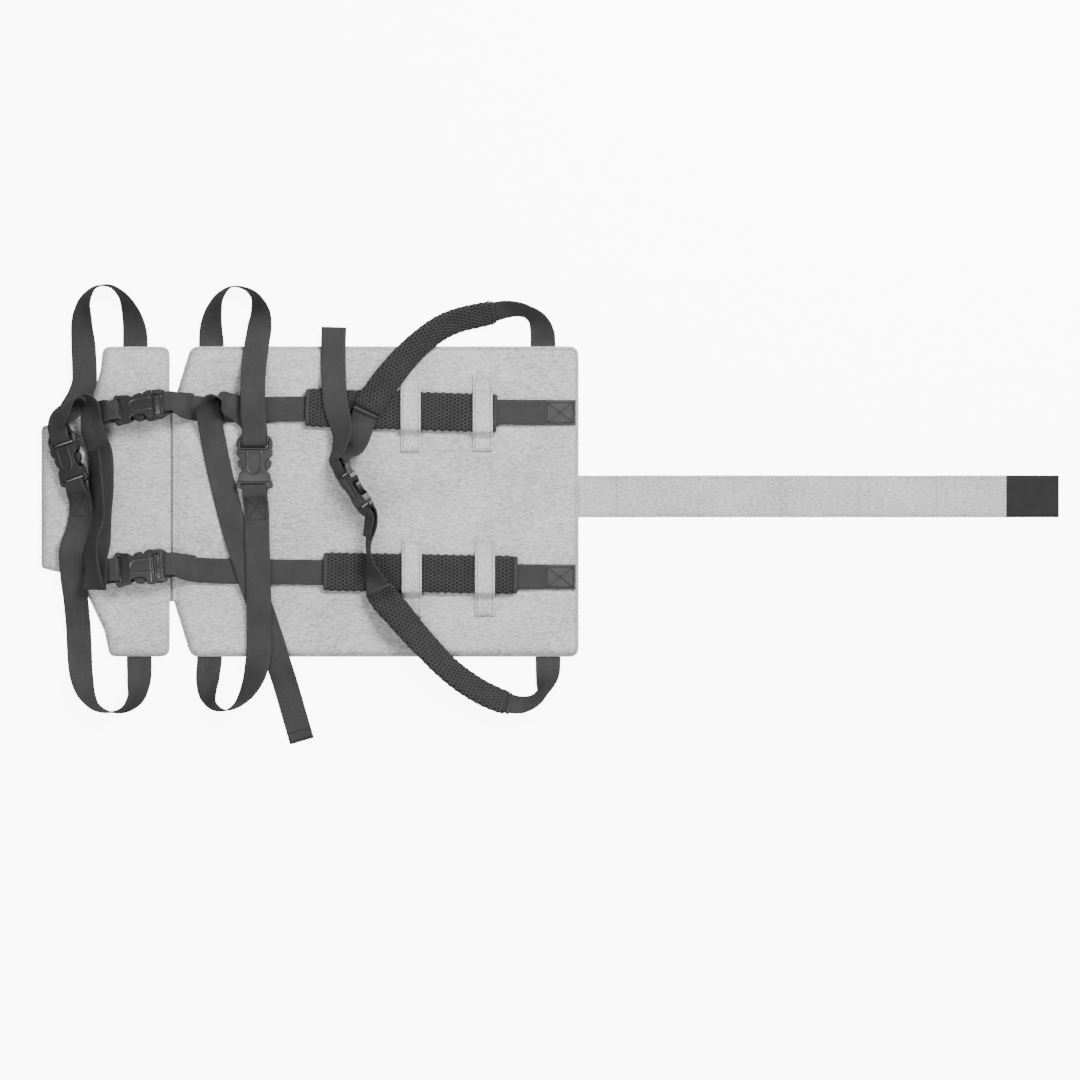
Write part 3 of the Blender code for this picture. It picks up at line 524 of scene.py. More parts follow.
def flap_corners():
    right = PANEL_LEFT - FLAP_GAP
    wide, tip, half = right - FLAP_BODY, right - FLAP_LENGTH, PANEL_HALF_WIDTH
    return ((right, -half, CORNER_RADIUS), (right, half, CORNER_RADIUS),
            (wide - 2, half, 8), (wide - 5, half - 26, 14), (wide - 16, 97, 12),
            (tip + 25, TAB_TOP + 6.5, 8), (tip, TAB_TOP, 3), (tip, TAB_BOTTOM, 3),
            (tip + 25, TAB_BOTTOM - 5.8, 8), (wide - 16.8, TAB_BOTTOM - 28.6, 12),
            (wide - 0.5, -130, 18), (wide + 4.5, -half, 7))


def edge_distance(points, outline):
    """Distance to the outline, and how far round it the nearest place is."""
    best = np.full(len(points), 1e9)
    around = np.zeros(len(points))
    walked = 0.0
    for i, a in enumerate(outline):
        b = outline[(i + 1) % len(outline)]
        run = np.array((b.x - a.x, b.y - a.y))
        length = max(float(np.linalg.norm(run)), 1e-6)
        away = points[:, :2] - (a.x, a.y)
        t = np.clip(away @ run / length ** 2, 0, 1)
        gap = np.linalg.norm(away - t[:, None] * run, axis=1)
        near = gap < best
        best[near], around[near] = gap[near], (walked + t * length)[near]
        walked += length
    return best, around


EDGE_LOW, EDGE_HIGH, CUSHION_HIGH, SLOPE, STITCH_IN = 0.7, 4.6, 9.25, 10.0, 3.0
PUCKER_HIGH, PUCKER_PITCH, PUCKER_IN, PUCKER_WIDE = 0.32, 10.5, 5, 4
GROOVE_DEEP, GROOVE_WIDE, SAG_DEEP, SAG_FROM_EDGE = 0.55, 1.3, 0.45, 20
SAGS_PER_MM = 0.011  # slow unevenness of the filling


def cushion_top(gap, around):
    """Height of the cushion's face by its distance from the sewn edge."""
    t = np.clip(gap / SLOPE, 0, 1)
    rise = 1 - (1 - t) ** 2.2
    pucker = PUCKER_HIGH * np.sin(around * 2 * math.pi / PUCKER_PITCH)
    pucker = pucker * np.exp(-np.abs(gap - PUCKER_IN) / PUCKER_WIDE)
    groove = GROOVE_DEEP * np.exp(-((gap - STITCH_IN) / GROOVE_WIDE) ** 2)
    return EDGE_HIGH + (CUSHION_HIGH - EDGE_HIGH) * rise + pucker - groove


def cushion(name, corners, body, nodes, voxel):
    """A padded shape with a crowned face, a sewn rim and the seam's puckers."""
    outline = rounded(corners)
    solid = slab([(p.x, p.y) for p in outline], 0, CUSHION_HIGH)
    mesh = with_modifiers(solid, (
        ("REMESH", {"mode": "VOXEL", "voxel_size": voxel}),
        ("SUBSURF", {"levels": 1, "render_levels": 1})))
    points = coordinates(mesh)
    gap, around = edge_distance(points, outline)
    share = np.clip(points[:, 2] / CUSHION_HIGH, 0, 1)
    sag = np.array([noise.fractal(Vector((x * SAGS_PER_MM, y * SAGS_PER_MM, 3.0)), 1.0, 2.0, 3)
                    for x, y, z in points])
    top = (cushion_top(gap, around)
           - SAG_DEEP * np.clip(sag + 0.35, 0, 1) * np.clip(gap / SAG_FROM_EDGE, 0, 1))
    bottom = EDGE_LOW * np.exp(-gap / 5)
    points[:, 2] = bottom + (top - bottom) * share
    joined = (np.abs(points[:, 1]) < NOTCH_HALF_WIDTH - 2) & (np.abs(points[:, 0] - FOLD_X) < 14)
    pull = np.exp(-((np.abs(points[:, 0] - FOLD_X) - 2) / 4.5) ** 2) * joined
    points[:, 2] += pull * share * (8.6 - top) * 0.85
    points[:, 0] += pull * 1.35 * np.sign(FOLD_X - points[:, 0])
    mesh.vertices.foreach_set("co", (points * MM).astype(np.float32).ravel())
    thing = dress(name, mesh, "cloth")
    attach(thing, body)
    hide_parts(*nodes)
    line = inset(outline, STITCH_IN)
    high = float(cushion_top(np.array([STITCH_IN]), np.array([0.0]))[0]) + 0.1
    loop = [(Vector((p.x, p.y, high)), Vector((0, 0, 1))) for p in line + line[:1]]
    thread = lay_repeats(name + "_stitching", stitches_on([loop]), stitch_shape(), "seam_shade_thread")
    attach(thread, body)


cushion("panel_cushion", panel_corners(), "panel",
        ("panel_back_cover", "panel_foam", "panel_front_cover", "middle_belt_inner",
         "end_belt_inner"), 3.6)
cushion("flap_cushion", flap_corners(), "flap",
        ("flap_back_cover", "flap_foam", "flap_front_cover", "flap_belt_inner"), 3.0)


def fold_cloth():
    """The cloth that joins the flap to the panel, low in the groove between them."""
    columns, rows, reach, thick = 21, 60, 10.0, 1.0
    points = []
    for side in (0, 1):
        for i in range(columns):
            x = FOLD_X - reach + 2 * reach * i / (columns - 1)
            dip = 1.6 * math.exp(-((x - FOLD_X) / 2.2) ** 2)
            for j in range(rows):
                y = (2 * j / (rows - 1) - 1) * (NOTCH_HALF_WIDTH - 1)
                points.append((x, y, EDGE_HIGH - dip - thick * side))
    thing = piece("fold_cloth", points, sheet_faces(columns, rows), "cloth")
    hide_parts("fold_web")
    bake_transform(thing)


fold_cloth()


# ---------------------------------------------------------------- belts

def lay(x, y, lift, roll=0.0, half_width=WEB_WIDTH / 2, half_thick=WEB_THICK / 2):
    """A route point whose lowest edge is at height lift. roll turns it about its travel."""
    tilt = math.radians(roll)
    z = lift + half_width * abs(math.sin(tilt)) + half_thick * abs(math.cos(tilt))
    return Vector((x, y, z)), roll, None


def through(buckle, u, w):
    """A route point in a buckle's own frame, with the webbing across the buckle."""
    return buckle @ Vector((u, 0, w)), None, buckle.to_3x3() @ Vector((0, 1, 0))


def fold(x, y, z, side):
    return Vector((x, y, z)), None, Vector(side)


def side_vectors(route):
    sides = []
    for i, (here, roll, side) in enumerate(route):
        if side is None:
            ahead = route[min(i + 1, len(route) - 1)][0]
            behind = route[max(i - 1, 0)][0]
            travel = Vector((ahead.x - behind.x, ahead.y - behind.y, 0)).normalized()
            left = Vector((-travel.y, travel.x, 0))
            tilt = math.radians(roll)
            side = left * math.cos(tilt) + Vector((0, 0, math.sin(tilt)))
        if sides and side.dot(sides[-1]) < 0:
            side = -side
        sides.append(side.normalized())
    return sides


def sections(route, step=3.0):
    """Centre, width direction and face direction along a route, and each point's section."""
    points = [here for here, roll, side in route]
    sides = side_vectors(route)
    spans = [(b - a).length for a, b in zip(points, points[1:])]
    tangents = []
    for i in range(len(points)):
        if i == 0:
            tangents.append((points[1] - points[0]) / spans[0])
        elif i == len(points) - 1:
            tangents.append((points[i] - points[i - 1]) / spans[-1])
        else:
            before, after = spans[i - 1], spans[i]
            tangents.append(((points[i] - points[i - 1]) / before * after
                             + (points[i + 1] - points[i]) / after * before) / (before + after))
    centres, widths, marks = [], [], []
    for i, span in enumerate(spans):
        marks.append(len(centres))
        count = max(3, math.ceil(span / step))
        for k in range(count):
            t = k / count
            a, b = 2 * t ** 3 - 3 * t ** 2 + 1, -2 * t ** 3 + 3 * t ** 2
            c, d = t ** 3 - 2 * t ** 2 + t, t ** 3 - t ** 2
            centre = points[i] * a + points[i + 1] * b
            centre += (tangents[i] * c + tangents[i + 1] * d) * span
            if route[i][2] is None or route[i + 1][2] is None:
                heights = sorted((points[i].z, points[i + 1].z))
                centre.z = min(max(centre.z, heights[0]), heights[1])
            centres.append(centre)
            widths.append(sides[i].lerp(sides[i + 1], t))
    marks.append(len(centres))
    centres.append(points[-1])
    widths.append(sides[-1])
    frames = []
    for i, (centre, width) in enumerate(zip(centres, widths)):
        travel = (centres[min(i + 1, len(centres) - 1)] - centres[max(i - 1, 0)]).normalized()
        width = (width - travel * width.dot(travel)).normalized()
        frames.append((centre, width, travel.cross(width)))
    return frames, marks


def tape_profile(width, thick):
    """Half-rounded edges and a face that is very slightly hollow."""
    half, high = width / 2, thick / 2
    side = ((half, 0), (half - 0.2, high * 0.7), (half - 0.9, high), (half - 3, high * 0.93),
            (0, high * 0.9))
    upper = list(side) + [(-a, b) for a, b in reversed(side[:-1])]
    return upper + [(a, -b) for a, b in reversed(upper[1:-1])]


def sweep(name, frames, profile, look):
    """A closed tape along frames, with a map that runs along it."""
    points, uv, run = [], [], 0.0
    for i, (centre, across, face) in enumerate(frames):
        run += (centre - frames[i - 1][0]).length if i else 0
        for a, b in profile:
            points.append(centre + across * a + face * b)
            uv.append((a, run))
    thing = piece(name, points, tube_faces(len(frames), len(profile)), look, uv)
    outward(thing.data)
    return thing


WEB = tape_profile(WEB_WIDTH, WEB_THICK)


def belt(node, route, body):
    frames, marks = sections(route)
    thing = sweep(node + "_webbing", frames, WEB, "web")
    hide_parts(node)
    if isinstance(body, str):
        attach(thing, body)
    else:
        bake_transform(thing)
    return frames, marks


def face_point(frames, where, across, lift, side):
    """A point on a tape's face: where counts sections, side is 1 or -1."""
    i = min(int(where), len(frames) - 2)
    t = where - i
    (c0, w0, f0), (c1, w1, f1) = frames[i], frames[i + 1]
    face = f0.lerp(f1, t).normalized() * side
    return c0.lerp(c1, t) + w0.lerp(w1, t) * across + face * lift, face


def stitched_box(name, frames, first, last, body, half=9.5, cross=True):
    """A sewn rectangle with a cross in it, on whichever face of the tape looks up."""
    side = 1 if frames[int((first + last) / 2)][2].z > 0 else -1

    def line(a, b):
        steps = 8
        return [face_point(frames, a[0] + (b[0] - a[0]) * k / steps,
                           a[1] + (b[1] - a[1]) * k / steps, WEB_THICK / 2, side)
                for k in range(steps + 1)]
    corners = ((first, -half), (first, half), (last, half), (last, -half))
    lines = [line(corners[k], corners[(k + 1) % 4]) for k in range(4)]
    if cross:
        lines += [line(corners[0], corners[2]), line(corners[1], corners[3])]
    thread = lay_repeats(name, stitches_on(lines, SEWING_PITCH), stitch_shape(), "dark_thread",
                         BAR_TACK_SIZE)
    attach(thread, body)


def buckle_frame(x, y, heading, roll):
    tilt = math.radians(roll)
    z = ON_PANEL + HALF_WIDTH * abs(math.sin(tilt)) + HALF_THICK * math.cos(tilt)
    turn = Matrix.Rotation(math.radians(heading), 4, "Z") @ Matrix.Rotation(tilt, 4, "X")
    return Matrix.Translation((x, y, z)) @ turn


BUCKLES = {
    "top": buckle_frame(-221.5, 96.0, 9.0, -39.0),
    "bottom": buckle_frame(-221.0, -65.0, 5.7, -25.0),
    "flap_belt": buckle_frame(-310.0, 55.0, 106.9, -38.0),
    "middle_belt": buckle_frame(-120.5, 51.5, 90.0, -8.0),
    "end_belt": buckle_frame(-28.5, 24.6, 122.7, -66.0),
}


def round_bar(buckle, over_first, steps):
    """There on one face of the buckle and back on the other; steps are (along, height)."""
    there = [through(buckle, u, over_first * w) for u, w in steps]
    back = [through(buckle, u, -over_first * w) for u, w in reversed(steps)]
    return there + back


def ladder_turn(buckle, over_first, bar_start, bar_end):
    slot = bar_start - SLOT_WIDTH / 2
    return round_bar(buckle, over_first, (
        (bar_end + BAR_REACH, ROUTE_CLEAR - 0.5), (bar_end, ROUTE_CLEAR),
        (bar_start, ROUTE_CLEAR + 0.1), (slot, BAR_HALF_THICK - 0.1)))


def socket_turn(buckle, over_first):
    bar_end = -SOCKET_LENGTH
    bar_start = bar_end + BAR_WIDTH
    slot = bar_start + SLOT_WIDTH / 2
    return round_bar(buckle, over_first, (
        (bar_end - BAR_REACH, ROUTE_CLEAR - 0.3), (bar_end, ROUTE_CLEAR),
        (bar_start, ROUTE_CLEAR + 0.1), (slot, BAR_HALF_THICK - 0.1)))


EXITS = {"flap": (-240.6, -236.8), "middle": (-164.5, -166.5), "end": (167.5, 172.5)}
EXIT_START = PANEL_HALF_WIDTH - 3.7


def leave(x, side):
    """The first two points of a belt that comes out of the panel's edge."""
    return [lay(x, side * EXIT_START, INNER_WEB),
            lay(x, side * (PANEL_HALF_WIDTH + 3), INNER_WEB - 0.2)]


def enter(x, side, roll):
    """leave, the other way round, with the webbing turned by roll."""
    return [(here, roll, across) for here, _, across in reversed(leave(x, side))]


def flap_belt():
    buckle = BUCKLES["flap_belt"]
    top, bottom = EXITS["flap"]
    route = leave(top, 1) + [
        lay(-241, 172, TABLE, -18), lay(-245, 190, TABLE, -45), lay(-254, 207, TABLE, -72),
        lay(-266, 215.5, TABLE, -87), lay(-279, 214.5, TABLE, -97),
        lay(-289, 203, TABLE, -118), lay(-293.5, 184, TABLE, -146),
        lay(-292.3, 155, 3, -172), lay(-291, 134, 9.4, -180), lay(-291, 120, 9.9, -180),
        lay(-295, 107, 10, -174), lay(-304, 92, 13, -158)]
    route += ladder_turn(buckle, -1, FIRST_BAR, SECOND_BAR + BAR_WIDTH + 1)
    route += [lay(-309, 91, 23.5, -58), lay(-300, 103, 20, -80), lay(-289, 106, 18, -95),
              lay(-283, 98, 19.8, -126), lay(-283, 84, 20.4, -152),
              lay(-281.5, 70, 18, -160), lay(-275.5, 50, 10.6, -176),
              lay(-274, 20, 10, -180), lay(-276.5, -18.5, 10, -180),
              lay(-277, -40, 10.2, -176), lay(-278, -56, 16.2, -155),
              lay(-278.8, -76, 18, -155), fold(-279.4, -87.5, 27.4, (-0.9, 0, -0.42)),
              fold(-280.4, -82, 31, (-0.8, 0, -0.6)), lay(-281.5, -68, 23, -52),
              lay(-283.5, -52, 18.5, -58), lay(-280.5, -34.5, 17.4, -64),
              lay(-275, -16.5, 15.8, -64),
              lay(-276.5, 6.5, 12.8, -62), lay(-279, 31.5, 11.9, -60), lay(-281, 50, 12.2, -60)]
    belt("flap_belt_upper", route, "flap")
    route = [lay(-293.5, -14, ON_PANEL + 0.1, -12), lay(-294.5, -2, ON_PANEL + 0.8, -22)]
    route += socket_turn(buckle, -1)
    route += [lay(-294.3, -2, 12.7, 24), lay(-294.3, -14, 12.2, 9), lay(-297.5, -31, 12.2, 0),
              lay(-303, -47, 15.6, 0), lay(-303, -72, 10.4, 0), lay(-299.5, -99, 9.9, 0),
              lay(-298.5, -112, 6.5, 0), lay(-297.5, -128, 1.4, -2),
              lay(-296.5, -150, TABLE, -8), lay(-294, -176, TABLE, -26),
              lay(-289, -193, TABLE, -52), lay(-279.5, -205.5, TABLE, -75),
              lay(-266, -210.5, TABLE, -90), lay(-252, -208.5, TABLE, -103),
              lay(-242, -199, TABLE, -124), lay(-237, -180, TABLE, -158)]
    route += enter(bottom, -1, -180.0)
    frames, marks = belt("flap_belt_lower", route, "flap")
    stitched_box("flap_belt_sewing", frames, marks[9] + 1, marks[11], "flap")


def middle_belt():
    buckle = BUCKLES["middle_belt"]
    top, bottom = EXITS["middle"]
    route = leave(top, 1) + [
        lay(-164.5, 172, TABLE, 20), lay(-161.5, 190, TABLE, 46), lay(-154.5, 206, TABLE, 70),
        lay(-144, 214.5, TABLE, 86), lay(-131, 213, TABLE, 93), lay(-119.5, 204, TABLE, 112),
        lay(-115, 190, 1.5, 142), lay(-116, 174, 6.5, 170), lay(-118.5, 158, 10.2, 180),
        lay(-121, 140, 10.9, 180), lay(-122, 118, 21, 180), lay(-122, 100, 22.6, 180),
        lay(-121.8, 84, 20, 180)]
    route += ladder_turn(buckle, 1, FIRST_BAR, SECOND_BAR + BAR_WIDTH + 1)
    route += [lay(-123.5, 80, 13.8, 0), lay(-134.5, 90.5, 13.5, -2), lay(-147.3, 98, 14.1, -34),
              lay(-154, 104.5, 13.6, -76), lay(-163, 103, 14.4, -112),
              lay(-166.5, 92, 14.8, -156), lay(-164.5, 76, 14.4, -180),
              lay(-161.5, 58, 10.2, -180),
              lay(-157.5, 38, 9.8, -180), lay(-149, 1.5, 9.8, -180),
              lay(-142.5, -23.5, 9.9, -180), lay(-137, -42, 11.8, -180),
              lay(-132, -56, 13.7, -180), lay(-124.5, -80, 13.7, -180),
              lay(-118.5, -96, 12.4, -180), lay(-110, -121, 9.9, -180),
              lay(-100, -151.5, 9.9, -180), lay(-95.5, -166, 8.5, -180),
              lay(-90, -184, 2.5, -180), lay(-84, -205, TABLE, -180),
              lay(-73.8, -240, TABLE, -180)]
    frames, marks = belt("middle_belt_upper", list(reversed(route)), "panel")
    stitched_box("middle_belt_hem", frames, 1, 4, "panel", 11, False)
    route = [lay(-118.6, -16, ON_PANEL, 0), lay(-119.2, -4, ON_PANEL + 0.5, -4)]
    route += socket_turn(buckle, -1)
    route += [lay(-119.2, -4, 12.6, 4), lay(-118.6, -18, 11.7, 0), lay(-118.2, -38, 14.3, 0),
              lay(-117.5, -56, 15.8, 0), lay(-116.7, -84, 15.8, 0), lay(-116.4, -104, 15.2, 0),
              lay(-116.2, -128, 12, 0), lay(-117, -154, 11.9, 4), lay(-119, -166, 9, 14),
              lay(-123, -179.5, 3, 34), lay(-130, -193.5, TABLE, 56),
              lay(-139.5, -204, TABLE, 78), lay(-150.5, -208.5, TABLE, 93),
              lay(-161, -204.5, TABLE, 112), lay(-167, -193, TABLE, 138),
              lay(-168, -177, TABLE, 164)]
    route += enter(bottom, -1, 180.0)
    frames, marks = belt("middle_belt_lower", route, "panel")
    stitched_box("middle_belt_sewing", frames, marks[9] + 1, marks[11], "panel")


CURVED = {}  # the frames of the two padded runs, filled in by end_belt


def lay_pad(x, y, lift, roll):
    return lay(x, y, lift, roll, CURVED_PAD_WIDTH / 2, CURVED_PAD_THICK / 2)


def end_belt():
    """The belt at the right, with a curved pad on each run."""
    buckle = BUCKLES["end_belt"]
    top, bottom = EXITS["end"]
    start = leave(top, 1) + [
        lay(166.8, 170, 1.2, -20), lay(162, 182, 1.2, -48), lay(152, 189.5, 1.2, -62),
        lay(140, 192.5, 1.2, -56), lay(130, 192, 1.5, -48)]
    pad = [lay_pad(119, 189.5, TABLE, -42), lay_pad(104, 186, 1.0, -40),
           lay_pad(88, 182.5, 3.5, -40), lay_pad(67.5, 174.5, 8, -38),
           lay_pad(46.5, 159.5, 10.2, -36), lay_pad(31, 144.5, 12.7, -30),
           lay_pad(17.5, 128.5, 16.4, -22), lay_pad(3.5, 110, 17.0, -12),
           lay_pad(-10, 88, 17.0, -6)]
    route = start + pad + [lay(-13.6, 78, 18.3, 2), lay(-15.8, 66, 18.3, 20),
                           lay(-20, 54, 18.3, 42)]
    route += ladder_turn(buckle, -1, FIRST_BAR, SECOND_BAR + BAR_WIDTH + 1)
    route += [lay(-36, 53, 18.6, -56), lay(-33, 66, 18.2, -44), lay(-35, 80, 17.4, -24),
              lay(-39.5, 97, 17.1, -6), lay(-41.2, 114, 16.9, 0), lay(-42, 130, 12, 0),
              lay(-42.3, 146, 9.9, 0), lay(-42, 159, 9.9, 0), lay(-41.5, 174.5, 8.4, 0)]
    frames, marks = belt("end_belt_upper", route, "panel")
    CURVED["end_pad_upper"] = frames[marks[len(start)]:marks[len(start) + len(pad) - 1] + 1]

    head = [lay(-8.6, -36, 12.2, -72), lay(-6.6, -24, 14.0, -70)]
    head += socket_turn(buckle, 1)
    head += [lay(-2.4, -23, 14.4, 68), lay(-4.8, -34, 13.6, 72), lay(-6.4, -44, 15.8, 78),
             lay(-6.2, -52, 17.3, 80), lay(-4.5, -62, 17.2, 72), lay(-1.5, -73, 17, 50)]
    pad = [lay_pad(2.5, -86, 17, 22), lay_pad(10, -98, 18.4, 0), lay_pad(20, -109, 18, -14),
           lay_pad(35, -127, 12.4, -26), lay_pad(51.8, -145.7, 10, -34),
           lay_pad(70.2, -164.8, 9.6, -38), lay_pad(91.5, -181.6, 5, -38),
           lay_pad(113, -194.2, 1.2, -38), lay_pad(135, -202, TABLE, -42)]
    tail = [lay(147, -203.2, 1.2, -50), lay(158.5, -199.5, 1.2, -62),
            lay(167, -190.5, 1.2, -66), lay(171.5, -178, 1.2, -34), lay(172.5, -167, 0.8, -10)]
    route = head + pad + tail + enter(bottom, -1, 0.0)
    frames, marks = belt("end_belt_lower", route, "panel")
    CURVED["end_pad_lower"] = frames[marks[len(head)]:marks[len(head) + len(pad) - 1] + 1]
    stitched_box("end_belt_sewing", frames, 0.5, marks[2] - 1, "panel", 9, False)


STRAP_SEWN = (200.0, 168.0)  # the end sewn down on the panel
DOUBLED_LIFT = 1.15  # from the strap's middle to the turned-under layer on it
PADS = {
    "top": ((-70.0, 94.0), (121.5, 88.0)),
    "bottom": ((-52.0, -70.0), (142.0, -73.5)),
}


def cross_strap(side, buckle, near, ways, tail_ways):
    """A strap sewn down at the right that runs through its pad to the ladder lock."""
    route = tail_ways + ladder_turn(buckle, -1, SECOND_BAR, SECOND_BAR + BAR_WIDTH + 1)
    route += near + [lay(x, y, STRAP_LIFT) for x, y in ways]
    end_y = ways[-1][1]
    route += [lay(STRAP_SEWN[1] - 6, end_y, STRAP_LIFT - 0.3),
              lay(STRAP_SEWN[1] + 4, end_y, ON_PANEL), lay(STRAP_SEWN[0], end_y, ON_PANEL)]
    frames, marks = belt("cross_strap_" + side, route, ("panel", "flap", (-0.190, 0, 0.012),
                                                        (-0.206, 0, 0.012)))
    tail = frames[marks[-2] - 1:]
    lift = DOUBLED_LIFT if tail[0][2].z >= 0 else -DOUBLED_LIFT
    doubled = [(centre + face * lift, across, face) for centre, across, face in tail]
    thing = sweep("strap_end_" + side, doubled, tape_profile(WEB_WIDTH - 0.4, 0.8), "pale_web")
    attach(thing, "panel")
    stitched_box("strap_sewing_" + side, doubled, 0.8, len(doubled) - 1.8, "panel", 10)


def cross_straps():
    cross_strap("top", BUCKLES["top"],
                [lay(-193.5, 96.3, 18, -29), lay(-181, 93.3, 11.9, -3)],
                [(-168, 92), (-120, 92), (-70, 92.6), (25, 92), (121, 89.5), (150, 89)],
                [lay(-183.5, 95.5, 9.8, 3), lay(-193, 97.3, 10.3, 27)])
    cross_strap("bottom", BUCKLES["bottom"],
                [lay(-192, -65.3, 15.2, -17), lay(-181, -68, 11.8, -2)],
                [(-168, -69), (-120, -70), (-52, -71), (45, -72.5), (142, -75), (152, -75.4)],
                [lay(-182, -66.5, 9.8, 2), lay(-192, -64.4, 10, 16)])


KEEPERS = (
    ("keeper_top_left", 35.3, (124.0, 49.8), "top"),
    ("keeper_top_right", 107.3, (125.0, 50.5), "top"),
    ("keeper_bottom_left", 36.4, (-36.8, -115.5), "bottom"),
    ("keeper_bottom_right", 109.5, (-36.8, -114.3), "bottom"),
)


def buckle_tab(side, ends):
    """The short doubled webbing that sews a socket down on the flap."""
    buckle = BUCKLES[side]
    (x0, y0), (x1, y1) = ends
    roll = {"top": 18, "bottom": 9}[side]
    route = [lay(x0, y0, ON_PANEL), lay(x1, y1, ON_PANEL + 0.1, -roll)]
    route += socket_turn(buckle, -1)
    route += [lay(x1, y1 + 0.1, ON_PANEL + 2.8, roll), lay(x0, y0, ON_PANEL + 1.9)]
    belt("buckle_tab_" + side, route, "flap")


flap_belt()
middle_belt()
end_belt()
cross_straps()
buckle_tab("top", ((-283, 87.2), (-276.5, 88.2)))
buckle_tab("bottom", ((-283, -70.8), (-274, -70.2)))


# ---------------------------------------------------------------- fabric loops over the pads

def keeper(node, x, ends, side):
    (x0, y0), (x1, y1) = PADS[side]
    middle = y0 + (y1 - y0) * (x - x0) / (x1 - x0)
    foot = SLEEVE_WIDTH / 2 + KEEPER_STAND_OFF
    rise = SLEEVE_WIDTH / 2 - 1.0
    size = {"half_width": KEEPER_WIDTH / 2, "half_thick": KEEPER_THICK / 2}
    shoulder = (ON_PANEL + SLEEVE_TOP) / 2
    ways = [(ends[0], ON_PANEL), (middle + foot + 3.5, ON_PANEL),
            (middle + foot, shoulder), (middle + rise, OVER_PAD + 0.5), (middle, OVER_PAD + 0.9),
            (middle - rise, OVER_PAD + 0.5), (middle - foot, shoulder),
            (middle - foot - 3.5, ON_PANEL), (ends[1], ON_PANEL)]
    frames, marks = sections([lay(x, y, lift, **size) for y, lift in ways], 2.5)
    thing = sweep(node + "_cloth", frames, tape_profile(KEEPER_WIDTH, KEEPER_THICK),
                  "loop_cloth")
    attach(thing, "panel")
    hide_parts(node)
    up = 1 if frames[len(frames) // 2][2].z > 0 else -1
    last = len(frames) - 1
    lines = []
    for across in (-7.6, 7.6):
        lines.append([face_point(frames, i, across, KEEPER_THICK / 2, up)
                      for i in range(1, last)])
    for where in (1.0, last - 1.0):
        lines.append([face_point(frames, where, a, KEEPER_THICK / 2, up) for a in (-7.6, 7.6)])
    thread = lay_repeats(node + "_stitching", stitches_on(lines, SEWING_PITCH), stitch_shape(),
                         "seam_shade_thread")
    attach(thread, "panel")


for each in KEEPERS:
    keeper(*each)


# ---------------------------------------------------------------- buckles

def mirrored(half):
    return list(half) + [(u, -v) for u, v in reversed(half)]


def moulded(mesh, voxel=0.5):
    """Soft moulded corners all round."""
    return with_modifiers(mesh, (
        ("REMESH", {"mode": "VOXEL", "voxel_size": voxel, "adaptivity": 0.0}),
        ("SMOOTH", {"factor": 0.5, "iterations": 3})))


def near_path(points, path):
    """Each point's distance, seen from above, to the path."""
    best = np.full(len(points), 1e9)
    for a, b in zip(path, path[1:]):
        a, b = np.array(a), np.array(b)
        run = b - a
        t = np.clip((points[:, :2] - a) @ run / (run @ run), 0, 1)
        best = np.minimum(best, np.linalg.norm(points[:, :2] - a - t[:, None] * run, axis=1))
    return best


def shaped(mesh, change):
    points = coordinates(mesh)
    change(points)
    mesh.vertices.foreach_set("co", points.astype(np.float32).ravel())
    return mesh


def arch_path(start, end, half, steps=10):
    """A tongue outline: two rails joined by a half-round end."""
    middle = [(end - half * math.sin(math.pi * k / steps), half * math.cos(math.pi * k / steps))
              for k in range(steps + 1)]
    return [(start, half)] + middle + [(start, -half)]


def socket_shape():
    half, length = HALF_WIDTH, SOCKET_LENGTH
    body_end, waist = 8.0 - length, CAVITY_HALF - 3.2
    body = mirrored(((0, half - 1), (-4, half - 0.4), (-7.5, half - 2.2), (-10.5, waist + 1),
                     (-14, waist), (-18, waist), (-21.5, waist + 1.5), (-24.5, half - 3),
                     (body_end, half - 1.5)))
    end = mirrored(((body_end + 2, half - 2), (body_end - 2.5, half), (3 - length, half),
                    (1 - length, half - 2), (-length, half - 5)))
    inner = length - BAR_WIDTH - SLOT_WIDTH
    high = HALF_THICK
    mesh = cut(slab(body, -high, high), (
        ("UNION", slab(end, -BAR_HALF_THICK - 0.5, BAR_HALF_THICK + 0.5)),
        ("DIFFERENCE", block((-CAVITY_DEPTH, -CAVITY_HALF, -CAVITY_HEIGHT),
                             (1, CAVITY_HALF, CAVITY_HEIGHT))),
        ("DIFFERENCE", block((-inner - SLOT_WIDTH, -SLOT_HALF, -high),
                             (-inner, SLOT_HALF, high)))))

    def change(points):
        u, v, w = points[:, 0].copy(), points[:, 1], points[:, 2]
        crown = 1 - 0.34 * np.clip(np.abs(v) / HALF_WIDTH, 0, 1) ** 3
        tail = 1 - 0.3 * np.clip((-u - 24) / 8, 0, 1)
        outer = np.clip((np.abs(w) - CAVITY_HEIGHT) / (HALF_THICK - CAVITY_HEIGHT), 0, 1)
        rim = np.exp(-((near_path(points, arch_path(-1.5, -17, 7.2)) / 0.55) ** 2))
        mouth = np.exp(-(((u + 2.2) / 0.45) ** 2))
        points[:, 2] = (w * (1 - outer + outer * crown * tail)
                        + np.sign(w) * outer * (0.75 * rim - 0.5 * mouth))
    return shaped(moulded(mesh), change)


